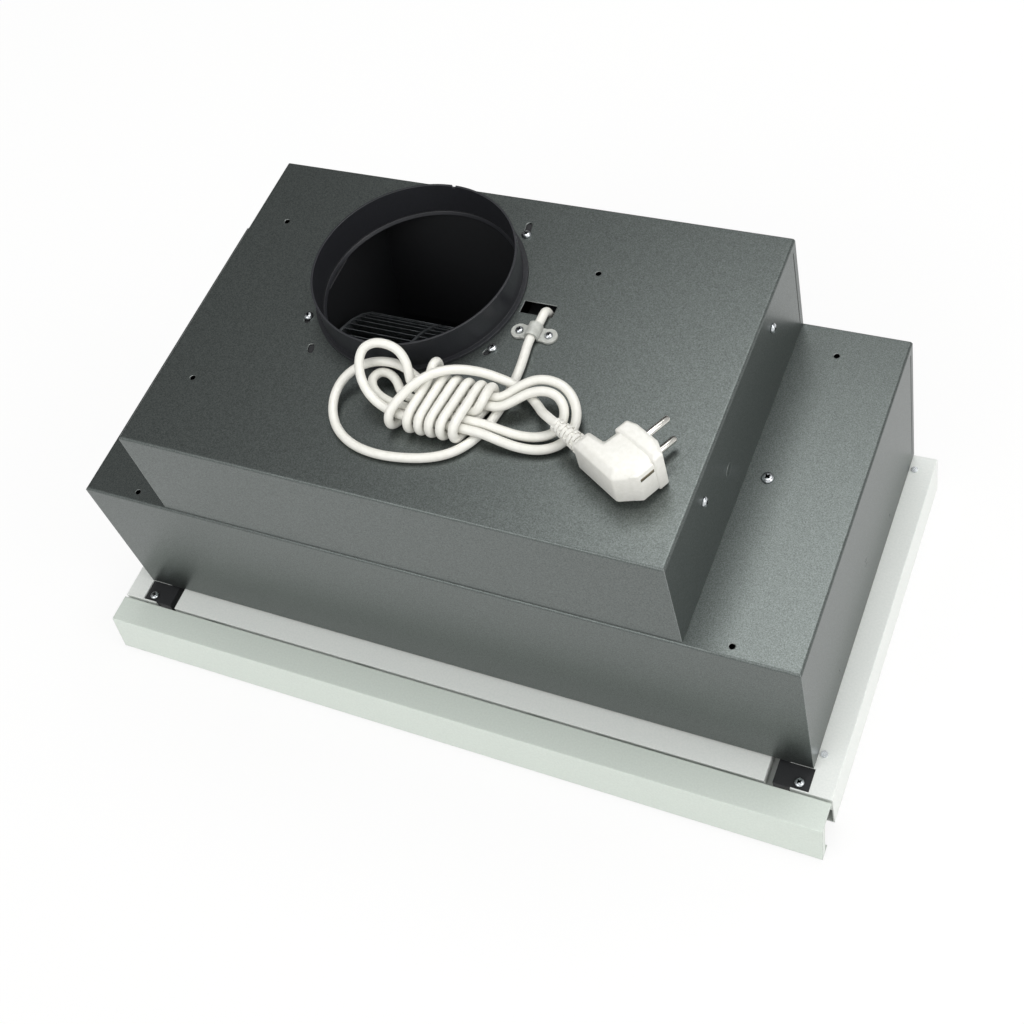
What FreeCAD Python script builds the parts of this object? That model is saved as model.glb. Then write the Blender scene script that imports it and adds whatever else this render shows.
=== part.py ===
# Pull-out built-in cooker hood, lying on its intake side, modelled in millimetres.
# +X to the right along the front strip, +Y to the back, +Z up towards the duct collar.
# The origin is the middle of the footprint: the bounding box without the mains cord stands on z = 0.

import FreeCAD, Part
import math
import os

Vector = FreeCAD.Vector

# ---------------------------------------------------------------- driving dimensions
# Housing of folded sheet steel
sheet = 1.0                  # thickness of every folded sheet
bend = 2.0                   # outer radius of the folds of both housings
body_width = 562.0           # fits between the sides of a 600 mm wall cupboard
body_depth = 274.0
body_height = 138.2
tower_width = 408.0          # raised motor box
tower_height = 91.0
tower_shift = -2.0           # motor box is a little left of the middle
tower_setback = 1.5          # front of the motor box behind the front of the body
housing_lip = 15.0           # inward lips along the lower edges
panel_return = 6.0           # side returns of both back panels, seen as a seam on the sides
panel_margin = 12.0          # seam stops this far below the top and above the lower edge
sheet_gap = 0.3              # assembly gap between neighbouring sheets

# White underframe and sliding drawer
frame_height = 38.5
frame_overhang = 18.0        # side flange seen outside the body
frame_reach = 18.0           # frame arms ahead of the body's front
frame_return = 9.0           # lower inward lip of the frame
flap_width = 30.0            # closed front end of each frame arm
flap_height = 9.0
seal_height = 2.3            # foam seal between body and frame
seal_width = 11.0
strip_gap = 2.0              # groove between frame and front strip
strip_depth = 22.0           # upper flange of the front strip
strip_lean = 6.0             # lower edge of the strip stands forward
strip_floor_gap = 3.3
strip_lip = 9.0
strip_return = 11.0
deck_drop = 0.4              # drawer deck lies this much below the frame's top
drawer_gap = 5.7             # between the deck's edge and the guide rail, seen in front
lamp_bay = 71.0              # between the drawer and the back
drawer_rail_width = 25.0     # white rail between the drawer's edge and its filter
drawer_wall = 26.0           # height of the drawer's walls
runner_width = 17.0          # sliding flange in the guide's groove
runner_height = 25.3         # mid height of the sliding flange
slide_gap = 0.5

# Guide rails of black plastic
guide_width = 25.5
guide_bottom = 12.0
guide_overrun = 4.0          # rail behind the drawer's end
guide_screw_inset = 7.7      # screw axis from the guide's outer face
guide_screw_reach = 5.0      # screw axis behind the guide's front end

# Duct collar and blower
collar_x = -44.0
collar_y = 66.3
collar_radius = 75.0         # takes a 150 mm duct
collar_wall = 1.5
collar_height = 26.0
collar_foot_radius = 78.3
collar_foot_height = 2.5
spigot_radius = 73.2
spigot_depth = 3.4
wheel_radius = 88.0
wheel_inner_radius = 75.0
wheel_width = 118.0
wheel_y = 4.0
wheel_z = 163.0
wheel_clearance = 4.0        # narrowest air gap, at the tongue
end_ring = 2.0
blade_count = 72
blade_thickness = 0.8
blade_sweep = 9.0            # degrees from the blade's root to its tip
hub_radius = 11.0
hub_length = 14.0
shaft_radius = 4.0
shaft_clearance = 0.05
scroll_width = 140.0
scroll_growth = 20.0         # spiral grows by this much from the tongue to the outlet
scroll_wall = 1.5
scroll_flange = 2.5
tongue_angle = 80.0
inlet_radius = 68.0
motor_radius = 42.0
motor_length = 66.0
motor_flange = 7.0
motor_sides = 24
bracket_thickness = 3.0
arm_width = 16.0

# Mains cord
cord_radius = 3.25
cord_sides = 5
cord_step = 6.95             # touching strands, axis to axis
hank_start = (58.5, 6.5)     # where the lead becomes the hank
hank_front = -51.8           # foremost strand of the hank's middle
lane_step = 7.4
waist_left = -12.0
waist_right = 58.0
wrap_count = 6
wrap_exit = 51.0             # the cord comes out of the middle here and starts to wind
wrap_under = 11.0            # a turn moves left by this on its way forward under the strands
wrap_over = 2.0              # and right by this on its way back over them
wrap_play = 0.3
tail_length = 13.5
lead_x = 55.8
lead_bend = 6.5
lead_y = 65.3
plug_height = 35.0
plug_place = (169.5, -37.5)  # middle of the plug's face
plug_bevel = 5.0
relief_length = 26.0
relief_radius = (4.8, 6.6)
relief_ribs = 5
pin_radius = 2.4
pin_length = 19.0
pin_spacing = 19.0
pin_lean = 1.5

# Small fasteners
head_sides = 12
shank_sides = 6
hole_play = 0.25
head_radius = 3.6
head_height = 2.4
screw_shank = 1.9
thread_length = 6.0
body_screw_head = 4.6
body_screw_length = 5.0
body_screw_gap = 15.0        # outside the motor box's walls
body_screw_y = 25.0
tower_side_screws = ((101.4, 66.6), (-44.4, 68.0))     # place along Y, height above the body
clamp_screw_x = (43.7, 65.5)
clamp_y = 42.2
clamp_screw_head = (3.1, 2.0)
clamp_screw_radius = 1.5

# ---------------------------------------------------------------- derived places
back = (body_depth + frame_reach + strip_gap + strip_depth + strip_lean) / 2
front = back - body_depth
frame_front = front - frame_reach
strip_back = frame_front - strip_gap
strip_front = strip_back - strip_depth
side = body_width / 2
frame_side = side + frame_overhang
body_bottom = frame_height + seal_height
body_top = body_bottom + body_height
tower_left = tower_shift - tower_width / 2
tower_right = tower_shift + tower_width / 2
tower_front = front + tower_setback
tower_top = body_top + tower_height
body_screw_x = (tower_left - body_screw_gap, tower_right + body_screw_gap)
roof = tower_top - sheet
collar_top = tower_top + collar_height
deck_top = frame_height - deck_drop
drawer_back = back - lamp_bay
guide_outer = side + sheet - sheet_gap
guide_inner = guide_outer - guide_width
drawer_side = guide_inner - drawer_gap
guide_top = frame_height - sheet - sheet_gap
guide_front = frame_front + sheet + sheet_gap
guide_length = drawer_back + guide_overrun - frame_front

solids = {}


# ---------------------------------------------------------------- building helpers
def block(x, y, z):
    """Box between the pairs x, y and z."""
    return Part.makeBox(x[1] - x[0], y[1] - y[0], z[1] - z[0], Vector(x[0], y[0], z[0]))


def rod(radius, start, direction, length):
    return Part.makeCylinder(radius, length, Vector(*start), Vector(*direction))


def mirrored(shape):
    """The same piece on the other side of the middle plane."""
    return shape.mirror(Vector(0, 0, 0), Vector(1, 0, 0))


def fused(shapes):
    return shapes[0].multiFuse(shapes[1:]).removeSplitter()


def rounded(shape, radius, wanted):
    """Fillet of the edges whose middle point passes the test."""
    edges = [edge for edge in shape.Edges if wanted(edge.CenterOfMass, edge)]
    return shape.makeFillet(radius, edges)


def prism(points, direction):
    """Straight-edged outline of 3-D points, pushed along a vector."""
    corners = [Vector(*point) for point in points]
    return Part.Face(Part.makePolygon(corners + corners[:1])).extrude(Vector(*direction))


def revolved(outline, centre, direction):
    """Outline of (radius, height) pairs turned about the axis through centre."""
    corners = [Vector(radius, 0, height) for radius, height in outline]
    turned = Part.Face(Part.makePolygon(corners + corners[:1])).revolve(
        Vector(0, 0, 0), Vector(0, 0, 1), 360
    )
    turn = FreeCAD.Rotation(Vector(0, 0, 1), Vector(*direction))
    turned.Placement = FreeCAD.Placement(Vector(*centre), turn)
    return turned


def facet_rod(radius, start, direction, length, sides):
    """Straight prism with a regular section, for small pins and the holes that take them."""
    turns = [2 * math.pi * number / sides for number in range(sides)]
    corners = [Vector(radius * math.cos(turn), radius * math.sin(turn), 0) for turn in turns]
    pin = Part.Face(Part.makePolygon(corners + corners[:1])).extrude(Vector(0, 0, length))
    pin.Placement = FreeCAD.Placement(Vector(*start), FreeCAD.Rotation(Vector(0, 0, 1), Vector(*direction)))
    return pin


def screw(centre, direction, length=thread_length, head=(head_radius, head_height), shank=screw_shank):
    """Pan head screw whose head's underside lies on centre; direction points out of the surface."""
    into = [-part for part in direction]
    cap = facet_rod(head[0], centre, direction, head[1], head_sides)
    return cap.fuse(facet_rod(shank, centre, into, length, shank_sides))


def screw_hole(radius, start, direction, length):
    """Cutter for the hole under a screw's head, a little wider than its shank."""
    return facet_rod(radius + hole_play, start, direction, length, shank_sides)


def hole(x, y, z, radius):
    """Cutter for a round hole through the horizontal sheet whose top is at z."""
    return rod(radius, (x, y, z - 2 * sheet), (0, 0, 1), 4 * sheet)


def slot(start, end, z, radius):
    """Cutter for a slot with eight-sided ends through the horizontal sheet whose top is at z."""
    first, last = [
        facet_rod(radius, (place[0], place[1], z - 2 * sheet), (0, 0, 1), 4 * sheet, 8) for place in (start, end)
    ]
    along = math.atan2(end[1] - start[1], end[0] - start[0])
    length = math.dist(start, end)
    middle = block((0, length), (-radius, radius), (z - 2 * sheet, z + 2 * sheet))
    middle.Placement = FreeCAD.Placement(
        Vector(start[0], start[1], 0), FreeCAD.Rotation(Vector(0, 0, 1), math.degrees(along))
    )
    return first.multiFuse([middle, last])


def folded_cover(x, y, z):
    """Folded cover open below and behind, with inward lips and notches for the back panel."""

    def fold(shape, radius, box_x, box_y, box_z):
        def wanted(point, edge):
            on_top = abs(point.z - box_z[1]) < 0.01
            at_back = abs(point.y - box_y[1]) < 0.01
            return on_top and not at_back

        return rounded(shape, radius, wanted)

    outer = fold(block(x, y, z), bend, x, y, z)
    in_x = (x[0] + sheet, x[1] - sheet)
    in_y = (y[0] + sheet, y[1] + sheet)
    in_z = (z[0] + sheet, z[1] - sheet)
    inner = block(in_x, in_y, in_z)
    mouth = block(
        (x[0] + housing_lip, x[1] - housing_lip), (y[0] + housing_lip, y[1] + sheet), (z[0] - sheet, z[0] + 2 * sheet)
    )
    cover = outer.cut(inner).cut(mouth)
    notch = (z[0] + panel_margin, z[1] - panel_margin)
    for edge_x in ((x[0] - sheet, x[0] + sheet), (x[1] - sheet, x[1] + sheet)):
        cover = cover.cut(block(edge_x, (y[1] - panel_return, y[1] + sheet), notch))
    return cover


def back_panel(x, y_back, z):
    """Back panel with a lower lip and with side returns that fill the cover's notches."""
    low, high = z[0] + sheet + sheet_gap, z[1] - sheet - sheet_gap
    inner_x = (x[0] + sheet + sheet_gap, x[1] - sheet - sheet_gap)
    plate = block(inner_x, (y_back - sheet, y_back), (z[0], high))
    lip = block(
        (x[0] + housing_lip + sheet_gap, x[1] - housing_lip - sheet_gap),
        (y_back - housing_lip, y_back),
        (z[0], z[0] + sheet),
    )
    relief_left = block((x[0], x[0] + housing_lip + sheet_gap), (y_back - 2 * sheet, y_back + sheet), (z[0] - 1, low))
    relief_right = block((x[1] - housing_lip - sheet_gap, x[1]), (y_back - 2 * sheet, y_back + sheet), (z[0] - 1, low))
    notch = (z[0] + panel_margin + sheet_gap, z[1] - panel_margin - sheet_gap)
    returns = [
        block((x[0], inner_x[0] + sheet), (y_back - sheet, y_back), notch),
        block((x[0], x[0] + sheet), (y_back - panel_return + sheet_gap, y_back), notch),
        block((inner_x[1] - sheet, x[1]), (y_back - sheet, y_back), notch),
        block((x[1] - sheet, x[1]), (y_back - panel_return + sheet_gap, y_back), notch),
    ]
    return fused([plate.cut(relief_left).cut(relief_right), lip] + returns)


# ---------------------------------------------------------------- body and motor box
fixing_inset_x = 46.5        # from the body's sides, before the shift
fixing_span_x = body_width - 2 * fixing_inset_x
fixing_span_y = 242.0
fixing_shift_x = -1.3
fixing_shift_y = 16.4
shelf_span_x = 255.6
shelf_span_y = 153.5
shelf_shift_x = -49.1
shelf_shift_y = 26.8
fixing_radius = 2.1
shelf_radius = 2.1
body_opening_margin = 13.0   # shelf left around the opening under the motor box
side_slot_y = 28.0
side_slot_rise = 53.5        # pair of small slots in both sides, above the body's lower edge
side_slot_pitch = 5.5
side_nick_rise = 19.0
side_nicks_y = (-44.5, 89.5)
cable_slot_x = (36.5, 61.0)
cable_slot_y = (59.0, 69.5)
collar_slot_radius = 2.3
collar_fixings = (           # screw, and where its slot in the roof ends
    ((13.9, 127.4), (12.3, 137.0)),
    ((-115.9, 21.7), (-115.3, 17.5)),
    ((30.1, 24.4), (27.1, 19.7)),
)
spare_slot = ((-101.2, -3.4), (-99.9, -7.0))


def body_shell():
    shell = folded_cover((-side, side), (front, back), (body_bottom, body_top))
    opening_x = (tower_left + body_opening_margin, tower_right - body_opening_margin)
    opening_y = (tower_front + body_opening_margin, back - body_opening_margin)
    shell = shell.cut(block(opening_x, opening_y, (body_top - 2 * sheet, body_top + sheet)))
    for dx in (-0.5, 0.5):
        for dy in (-0.5, 0.5):
            x = fixing_shift_x + dx * fixing_span_x
            y = fixing_shift_y + dy * fixing_span_y
            shell = shell.cut(hole(x, y, body_top, fixing_radius))
    for number in (0, 1):
        z = body_bottom + side_slot_rise - number * side_slot_pitch
        shell = shell.cut(block((-side - 1, side + 1), (side_slot_y - 2.5, side_slot_y + 2.5), (z - 0.9, z + 0.9)))
    for y in side_nicks_y:
        z = body_bottom + side_nick_rise
        shell = shell.cut(block((-side - 1, side + 1), (y - 0.8, y + 0.8), (z - 2.2, z + 2.2)))
    for x in body_screw_x:
        shell = shell.cut(screw_hole(screw_shank, (x, body_screw_y, body_top - 3), (0, 0, 1), 6))
    return shell


def tower_shell():
    shell = folded_cover((tower_left, tower_right), (tower_front, back), (body_top, tower_top))
    shell = shell.cut(hole(collar_x, collar_y, tower_top, spigot_radius + 0.8))
    for dx in (-0.5, 0.5):
        for dy in (-0.5, 0.5):
            x = shelf_shift_x + dx * shelf_span_x
            y = shelf_shift_y + dy * shelf_span_y
            shell = shell.cut(facet_rod(shelf_radius, (x, y, roof - 1), (0, 0, 1), 3, head_sides))
    for screw_place, slot_end in collar_fixings:
        shell = shell.cut(slot(screw_place, slot_end, tower_top, collar_slot_radius))
    shell = shell.cut(slot(spare_slot[0], spare_slot[1], tower_top, collar_slot_radius))
    shell = shell.cut(block(cable_slot_x, cable_slot_y, (roof - sheet, tower_top + sheet)))
    for x in clamp_screw_x:
        shell = shell.cut(screw_hole(clamp_screw_radius, (x, clamp_y, tower_top - 3), (0, 0, 1), 6))
    for y, rise in tower_side_screws:
        z = body_top + rise
        shell = shell.cut(screw_hole(screw_shank, (tower_left - 1, y, z), (1, 0, 0), tower_width + 2))
    return shell


brace_sheet = 1.5
brace_y = (-75.0, 132.0)
brace_rise = 52.0            # lower edge above the motor box's foot
brace_ledge = 14.0

solids["body_shell"] = body_shell()
solids["body_back_panel"] = back_panel((-side, side), back, (body_bottom, body_top))
solids["tower_shell"] = tower_shell()
solids["tower_back_panel"] = back_panel((tower_left, tower_right), back, (body_top, tower_top))
solids["body_screws"] = Part.makeCompound(
    [
        screw((x, body_screw_y, body_top), (0, 0, 1), body_screw_length, (body_screw_head, head_height))
        for x in body_screw_x
    ]
)


def brace():
    """Angle inside the motor box's right wall; takes the two side screws and stiffens the roof."""
    wall = tower_right - sheet
    corner = (roof - brace_sheet - bend, roof - brace_sheet)
    upright = block((wall - brace_sheet, wall), brace_y, (body_top + brace_rise, roof - bend))
    ledge = block((wall - brace_ledge, wall - bend), brace_y, (roof - brace_sheet, roof))
    knee = block((wall - bend - brace_sheet, wall - brace_sheet / 2), brace_y, corner)
    angle = fused([upright, ledge, knee])
    for y, rise in tower_side_screws:
        angle = angle.cut(screw_hole(screw_shank, (wall - 3, y, body_top + rise), (1, 0, 0), 6))
    return angle


brace_right = brace()
brace_left = mirrored(brace_right).translated(Vector(2 * tower_shift, 0, 0))
solids["tower_braces"] = Part.makeCompound([brace_left, brace_right])
solids["tower_side_screws"] = Part.makeCompound(
    [screw((tower_right, y, body_top + rise), (1, 0, 0)) for y, rise in tower_side_screws]
    + [screw((tower_left, y, body_top + rise), (-1, 0, 0)) for y, rise in tower_side_screws]
)


# ---------------------------------------------------------------- duct collar
rim_notch = (3.0, 1.6)       # width and depth of the notch at the back of the rim


def duct_collar():
    """Turned profile: spigot in the roof, foot on it, and the tube that takes the duct."""
    rise = collar_height
    outline = [
        (spigot_radius - collar_wall, -spigot_depth),
        (spigot_radius, -spigot_depth),
        (spigot_radius, 0),
        (collar_foot_radius, 0),
        (collar_foot_radius, collar_foot_height),
        (collar_radius, collar_foot_height),
        (collar_radius, rise),
        (collar_radius - collar_wall, rise),
        (collar_radius - collar_wall, 0),
    ]
    collar = revolved(outline, (collar_x, collar_y, tower_top), (0, 0, 1))
    width, depth = rim_notch
    notch = block(
        (collar_x - width / 2, collar_x + width / 2),
        (collar_y, collar_y + collar_radius + 1),
        (collar_top - depth, collar_top + 1),
    )
    return collar.cut(notch)


solids["duct_collar"] = duct_collar()
solids["collar_screws"] = Part.makeCompound(
    [screw((x, y, tower_top), (0, 0, 1), sheet + scroll_flange) for (x, y), end in collar_fixings]
)


# ---------------------------------------------------------------- blower
scroll_left = collar_x - scroll_width / 2
scroll_right = collar_x + scroll_width / 2
duct_low = roof - scroll_flange
duct_front = collar_y - spigot_radius - 0.3
duct_back = collar_y + spigot_radius + 0.3
flange_overlap = 8.5
front_overlap = 16.0


def spiral_point(angle, offset=0.0):
    """Point of the air spiral, as (y, z); angle in degrees from +Y towards +Z."""
    share = (angle - tongue_angle) / (360.0 - tongue_angle)
    radius = wheel_radius + wheel_clearance + scroll_growth * share + offset
    turn = math.radians(angle)
    return (wheel_y + radius * math.cos(turn), wheel_z + radius * math.sin(turn))


def spiral_edges(offset, x, steps=4):
    """Arcs through points of the spiral, from the tongue to the back of the wheel."""
    edges = []
    span = (360.0 - tongue_angle) / steps
    for step in range(steps):
        start = tongue_angle + step * span
        places = [spiral_point(start + part * span, offset) for part in (0, 0.5, 1)]
        edges.append(Part.Arc(*[Vector(x, y, z) for y, z in places]).toShape())
    return edges


def wall_along(lower, upper, thickness):
    """Flat duct wall between two (y, z) points, as wide as the scroll inside."""
    x = scroll_left - scroll_wall
    points = [
        (x, lower[0], lower[1]),
        (x, upper[0], upper[1]),
        (x, upper[0] + thickness, upper[1]),
        (x, lower[0] + thickness, lower[1]),
    ]
    return prism(points, (scroll_width + 2 * scroll_wall, 0, 0))


def blower_scroll():
    """Spiral casing with an inlet on each side and a duct that opens up into the collar."""
    x = scroll_left - scroll_wall
    width = scroll_width + 2 * scroll_wall
    inner, outer = spiral_edges(0, x), spiral_edges(scroll_wall, x)
    tongue, tongue_out = spiral_point(tongue_angle), spiral_point(tongue_angle, scroll_wall)
    end, end_out = spiral_point(360.0), spiral_point(360.0, scroll_wall)
    closing = [
        Part.LineSegment(Vector(x, *tongue), Vector(x, *tongue_out)).toShape(),
        Part.LineSegment(Vector(x, *end), Vector(x, *end_out)).toShape(),
    ]
    band = Part.Face(Part.Wire(Part.__sortEdges__(inner + outer + closing)))
    pieces = [band.extrude(Vector(width, 0, 0))]
    pieces.append(wall_along(end, (duct_back, duct_low), scroll_wall))
    lip = (tongue[0] - 8.5, tongue[1] + 12.0)
    guide = [
        (duct_front, duct_low),
        lip,
        tongue,
        (tongue[0] - 2.4, tongue[1] + 1.4),
        (lip[0] - scroll_wall, lip[1] - scroll_wall),
        (duct_front - scroll_wall, duct_low - scroll_wall),
        (duct_front - scroll_wall, duct_low),
    ]
    pieces.append(prism([(x, y, z) for y, z in guide], (width, 0, 0)))

    corners = [end, (duct_back, duct_low), (duct_front, duct_low), lip, tongue]
    cheek_edges = spiral_edges(0, x) + [
        Part.LineSegment(Vector(x, *first), Vector(x, *last)).toShape()
        for first, last in zip(corners, corners[1:])
    ]
    cheek = Part.Face(Part.Wire(Part.__sortEdges__(cheek_edges))).extrude(Vector(scroll_wall, 0, 0))
    cheek = cheek.cut(rod(inlet_radius, (x - 1, wheel_y, wheel_z), (1, 0, 0), 4))
    pieces.append(cheek)
    pieces.append(cheek.translated(Vector(scroll_width + scroll_wall, 0, 0)))

    flange = block(
        (scroll_left - flange_overlap, scroll_right + flange_overlap),
        (duct_front - front_overlap, duct_back + flange_overlap),
        (duct_low, roof),
    )
    mouth = rod(spigot_radius + 0.3, (collar_x, collar_y, duct_low - 1), (0, 0, 1), scroll_flange + 2)
    pieces.append(flange.cut(mouth))
    scroll = fused(pieces)
    for place, end in collar_fixings:
        scroll = scroll.cut(screw_hole(screw_shank, (place[0], place[1], duct_low - 1), (0, 0, 1), 5))
    return scroll


bracket_ring = inlet_radius + 10.0
bracket_x = scroll_right + 5.0


def fan_wheel():
    """Double inlet drum wheel: forward curved blades between end rings, on a disc and hub."""
    left = collar_x - wheel_width / 2
    centre = (wheel_y, wheel_z)

    def at(radius, angle):
        turn = math.radians(angle)
        return Vector(left + end_ring, centre[0] + radius * math.cos(turn), centre[1] + radius * math.sin(turn))

    blades = []
    pitch = 360.0 / blade_count
    thickness = math.degrees(blade_thickness / wheel_radius)
    for number in range(blade_count):
        root = number * pitch
        tip = root + blade_sweep
        outline = [
            at(wheel_inner_radius, root),
            at(wheel_radius - 0.6, tip),
            at(wheel_radius - 0.6, tip + thickness),
            at(wheel_inner_radius, root + thickness),
        ]
        blades.append(Part.Face(Part.makePolygon(outline + outline[:1])).extrude(Vector(wheel_width - 2 * end_ring, 0, 0)))

    def ring(x, thickness, outer, inner):
        disc = facet_rod(outer, (x, wheel_y, wheel_z), (1, 0, 0), thickness, blade_count // 2)
        return disc.cut(rod(inner, (x - 1, wheel_y, wheel_z), (1, 0, 0), thickness + 2))

    bore = shaft_radius + shaft_clearance
    rings = [
        ring(left, end_ring, wheel_radius, wheel_inner_radius - 1.0),
        ring(left + wheel_width - end_ring, end_ring, wheel_radius, wheel_inner_radius - 1.0),
        ring(collar_x - 1.0, 2.0, wheel_radius, bore),
        ring(collar_x - hub_length / 2, hub_length, hub_radius, bore),
    ]
    return rings[0].multiFuse(rings[1:] + blades)


def motor():
    """Drum motor inside the right half of the wheel; its shaft ends in the wheel's hub."""
    start = bracket_x + 2 * bracket_thickness - motor_length
    along = (1, 0, 0)
    can = facet_rod(motor_radius, (start, wheel_y, wheel_z), along, motor_length, motor_sides)
    flange_x = start + motor_length - bracket_thickness
    flange = facet_rod(motor_radius + motor_flange, (flange_x, wheel_y, wheel_z), along, bracket_thickness, motor_sides)
    shaft_start = collar_x - hub_length / 2 - 2.0
    shaft = rod(shaft_radius, (shaft_start, wheel_y, wheel_z), along, start - shaft_start + 1.0)
    return fused([can, flange, shaft])


def motor_bracket():
    """Ring round the motor with three arms to the right inlet."""
    x = bracket_x
    centre = (x, wheel_y, wheel_z)
    ring = facet_rod(motor_radius + motor_flange, centre, (1, 0, 0), bracket_thickness, motor_sides)
    pieces = [ring]
    for angle in (90, 210, 330):
        arm = block(
            (x, x + bracket_thickness), (motor_radius, bracket_ring + 2.0), (-arm_width / 2, arm_width / 2)
        )
        foot = block(
            (scroll_right + scroll_wall, x + bracket_thickness),
            (inlet_radius + 2.2, bracket_ring + 2.0),
            (-arm_width / 2, arm_width / 2),
        )
        leg = arm.fuse(foot)
        leg.rotate(Vector(0, 0, 0), Vector(1, 0, 0), angle)
        pieces.append(leg.translated(Vector(0, wheel_y, wheel_z)))
    bracket = fused(pieces)
    bore = facet_rod(motor_radius + 0.2, (x - 1, wheel_y, wheel_z), (1, 0, 0), bracket_thickness + 2, motor_sides)
    return bracket.cut(bore)


solids["blower_scroll"] = blower_scroll()
solids["fan_wheel"] = fan_wheel()
solids["fan_motor"] = motor()
solids["motor_bracket"] = motor_bracket()

# ---------------------------------------------------------------- electrical pieces under the roof
terminal_x = (36.0, 92.0)
terminal_y = (34.0, 92.0)
terminal_top = roof - 12.0
terminal_depth = 34.0
hanger_width = 14.0
hanger_sheet = 1.5
capacitor_radius = 17.0
capacitor_length = 52.0
capacitor_inset = 62.0       # axis inside the motor box's right wall
capacitor_y = 60.0


def terminal_box():
    """Closed wiring box on two hangers; the cord enters the gland in its top."""
    box = block(terminal_x, terminal_y, (terminal_top - terminal_depth, terminal_top))
    pieces = [box]
    wall = terminal_x[1] - hanger_sheet
    for y in (terminal_y[0], terminal_y[1] - hanger_width):
        along = (y, y + hanger_width)
        hanger = block((wall, terminal_x[1]), along, (terminal_top - hanger_width / 2, roof))
        foot = block((wall, terminal_x[1] + hanger_width), along, (roof - hanger_sheet, roof))
        pieces += [hanger, foot]
    return fused(pieces)


def capacitor():
    """Round motor capacitor hanging from the roof by its flange."""
    x, y = tower_right - capacitor_inset, capacitor_y
    flange = facet_rod(capacitor_radius + 3.0, (x, y, roof - 2.0), (0, 0, 1), 2.0, 16)
    return flange.fuse(facet_rod(capacitor_radius, (x, y, roof - capacitor_length), (0, 0, 1), capacitor_length, 16))


solids["terminal_box"] = terminal_box()
solids["run_capacitor"] = capacitor()


# ---------------------------------------------------------------- cord clamp on the roof
clamp_width = 11.0
clamp_ear_radius = 6.2
clamp_base = 1.8
clamp_wall = 1.6
clamp_bore = cord_radius + 0.3


def cord_clamp():
    """Bridge clamp with two round ears and an arch over the cord."""
    middle_x = sum(clamp_screw_x) / 2
    z = tower_top
    pieces = [facet_rod(clamp_ear_radius, (x, clamp_y, z), (0, 0, 1), clamp_base, 16) for x in clamp_screw_x]
    half = clamp_width / 2
    pieces.append(block(clamp_screw_x, (clamp_y - half, clamp_y + half), (z, z + clamp_base)))
    arch_height = z + cord_radius + 0.3
    pieces.append(rod(clamp_bore + clamp_wall, (middle_x, clamp_y - half, arch_height), (0, 1, 0), clamp_width))
    clamp = fused(pieces)
    around = (middle_x - clamp_width, middle_x + clamp_width)
    along = (clamp_y - clamp_width, clamp_y + clamp_width)
    clamp = clamp.cut(block(around, along, (z - clamp_width, z)))
    clamp = clamp.cut(rod(clamp_bore, (middle_x, along[0], arch_height), (0, 1, 0), 2 * clamp_width))
    clamp = clamp.cut(
        block((middle_x - clamp_bore, middle_x + clamp_bore), along, (z - 1, arch_height))
    )
    for x in clamp_screw_x:
        clamp = clamp.cut(screw_hole(clamp_screw_radius, (x, clamp_y, z - 1), (0, 0, 1), clamp_base + 2))
    return clamp


solids["cord_clamp"] = cord_clamp()
solids["clamp_screws"] = Part.makeCompound(
    [
        screw((x, clamp_y, tower_top + clamp_base), (0, 0, 1), thread_length, clamp_screw_head, clamp_screw_radius)
        for x in clamp_screw_x
    ]
)


# ---------------------------------------------------------------- underframe and seal
frame_shelf = side - 17.0        # inner edge of the shelf that carries the body
rear_shelf_depth = 31.0
guide_wall_height = 17.5         # inner wall of the frame arm, behind the guide rail
rivet_reach = 3.6                # rivet axis outside the body's side
rivet_places_y = (-99.8, 147.6)
rivet_radius = 1.3
rivet_head = (2.6, 0.9)


def underframe():
    """White U of folded sheet, open to the front: side arms, rear wall and their lower lips."""
    z = (0, frame_height)
    top = (frame_height - sheet, frame_height)
    reach = (frame_front, back)
    pieces = [block((-frame_side, frame_side), (back - sheet, back), z)]
    pieces.append(block((-frame_side, frame_side), (back - rear_shelf_depth, back), top))
    pieces.append(block((-frame_side, frame_side), (back - frame_return, back), (0, sheet)))
    arm = [
        block((frame_side - sheet, frame_side), reach, z),
        block((frame_side - frame_return, frame_side), reach, (0, sheet)),
        block((frame_shelf, frame_side), (front + sheet, back), top),
        block((side + sheet, frame_side), (frame_front, front + 2 * sheet), top),
        block((side + sheet, side + 2 * sheet), reach, (frame_height - guide_wall_height, frame_height)),
        block((frame_side - flap_width, frame_side), (frame_front, frame_front + sheet),
              (frame_height - flap_height, frame_height)),
    ]
    for piece in arm:
        pieces += [piece, mirrored(piece)]
    frame = fused(pieces)
    for y in rivet_places_y:
        for x in (-side - rivet_reach, side + rivet_reach):
            frame = frame.cut(screw_hole(rivet_radius, (x, y, frame_height - 2), (0, 0, 1), 4))

    def outer_fold(point, edge):
        on_top = abs(point.z - frame_height) < 0.01
        along_side = abs(abs(point.x) - frame_side) < 0.01 and edge.Length > body_depth / 2
        return on_top and along_side

    return rounded(frame, 0.8, outer_fold)


def frame_seal():
    """Foam strip between the body's lower lips and the frame, wiping the drawer's deck in front."""
    z = (frame_height, body_bottom)
    inset = 1.5
    outer = block((-side + inset, side - inset), (front + inset, back - sheet - inset), z)
    width = inset + seal_width
    inner = block((-side + width, side - width), (front + width, back - sheet - width), (z[0] - 1, z[1] + 1))
    return outer.cut(inner)


def rivet(x, y):
    return screw((x, y, frame_height), (0, 0, 1), 2 * sheet, rivet_head, rivet_radius)


solids["underframe"] = underframe()
solids["frame_seal"] = frame_seal()
solids["frame_rivets"] = Part.makeCompound(
    [rivet(x, y) for x in (-side - rivet_reach, side + rivet_reach) for y in rivet_places_y]
)


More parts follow.
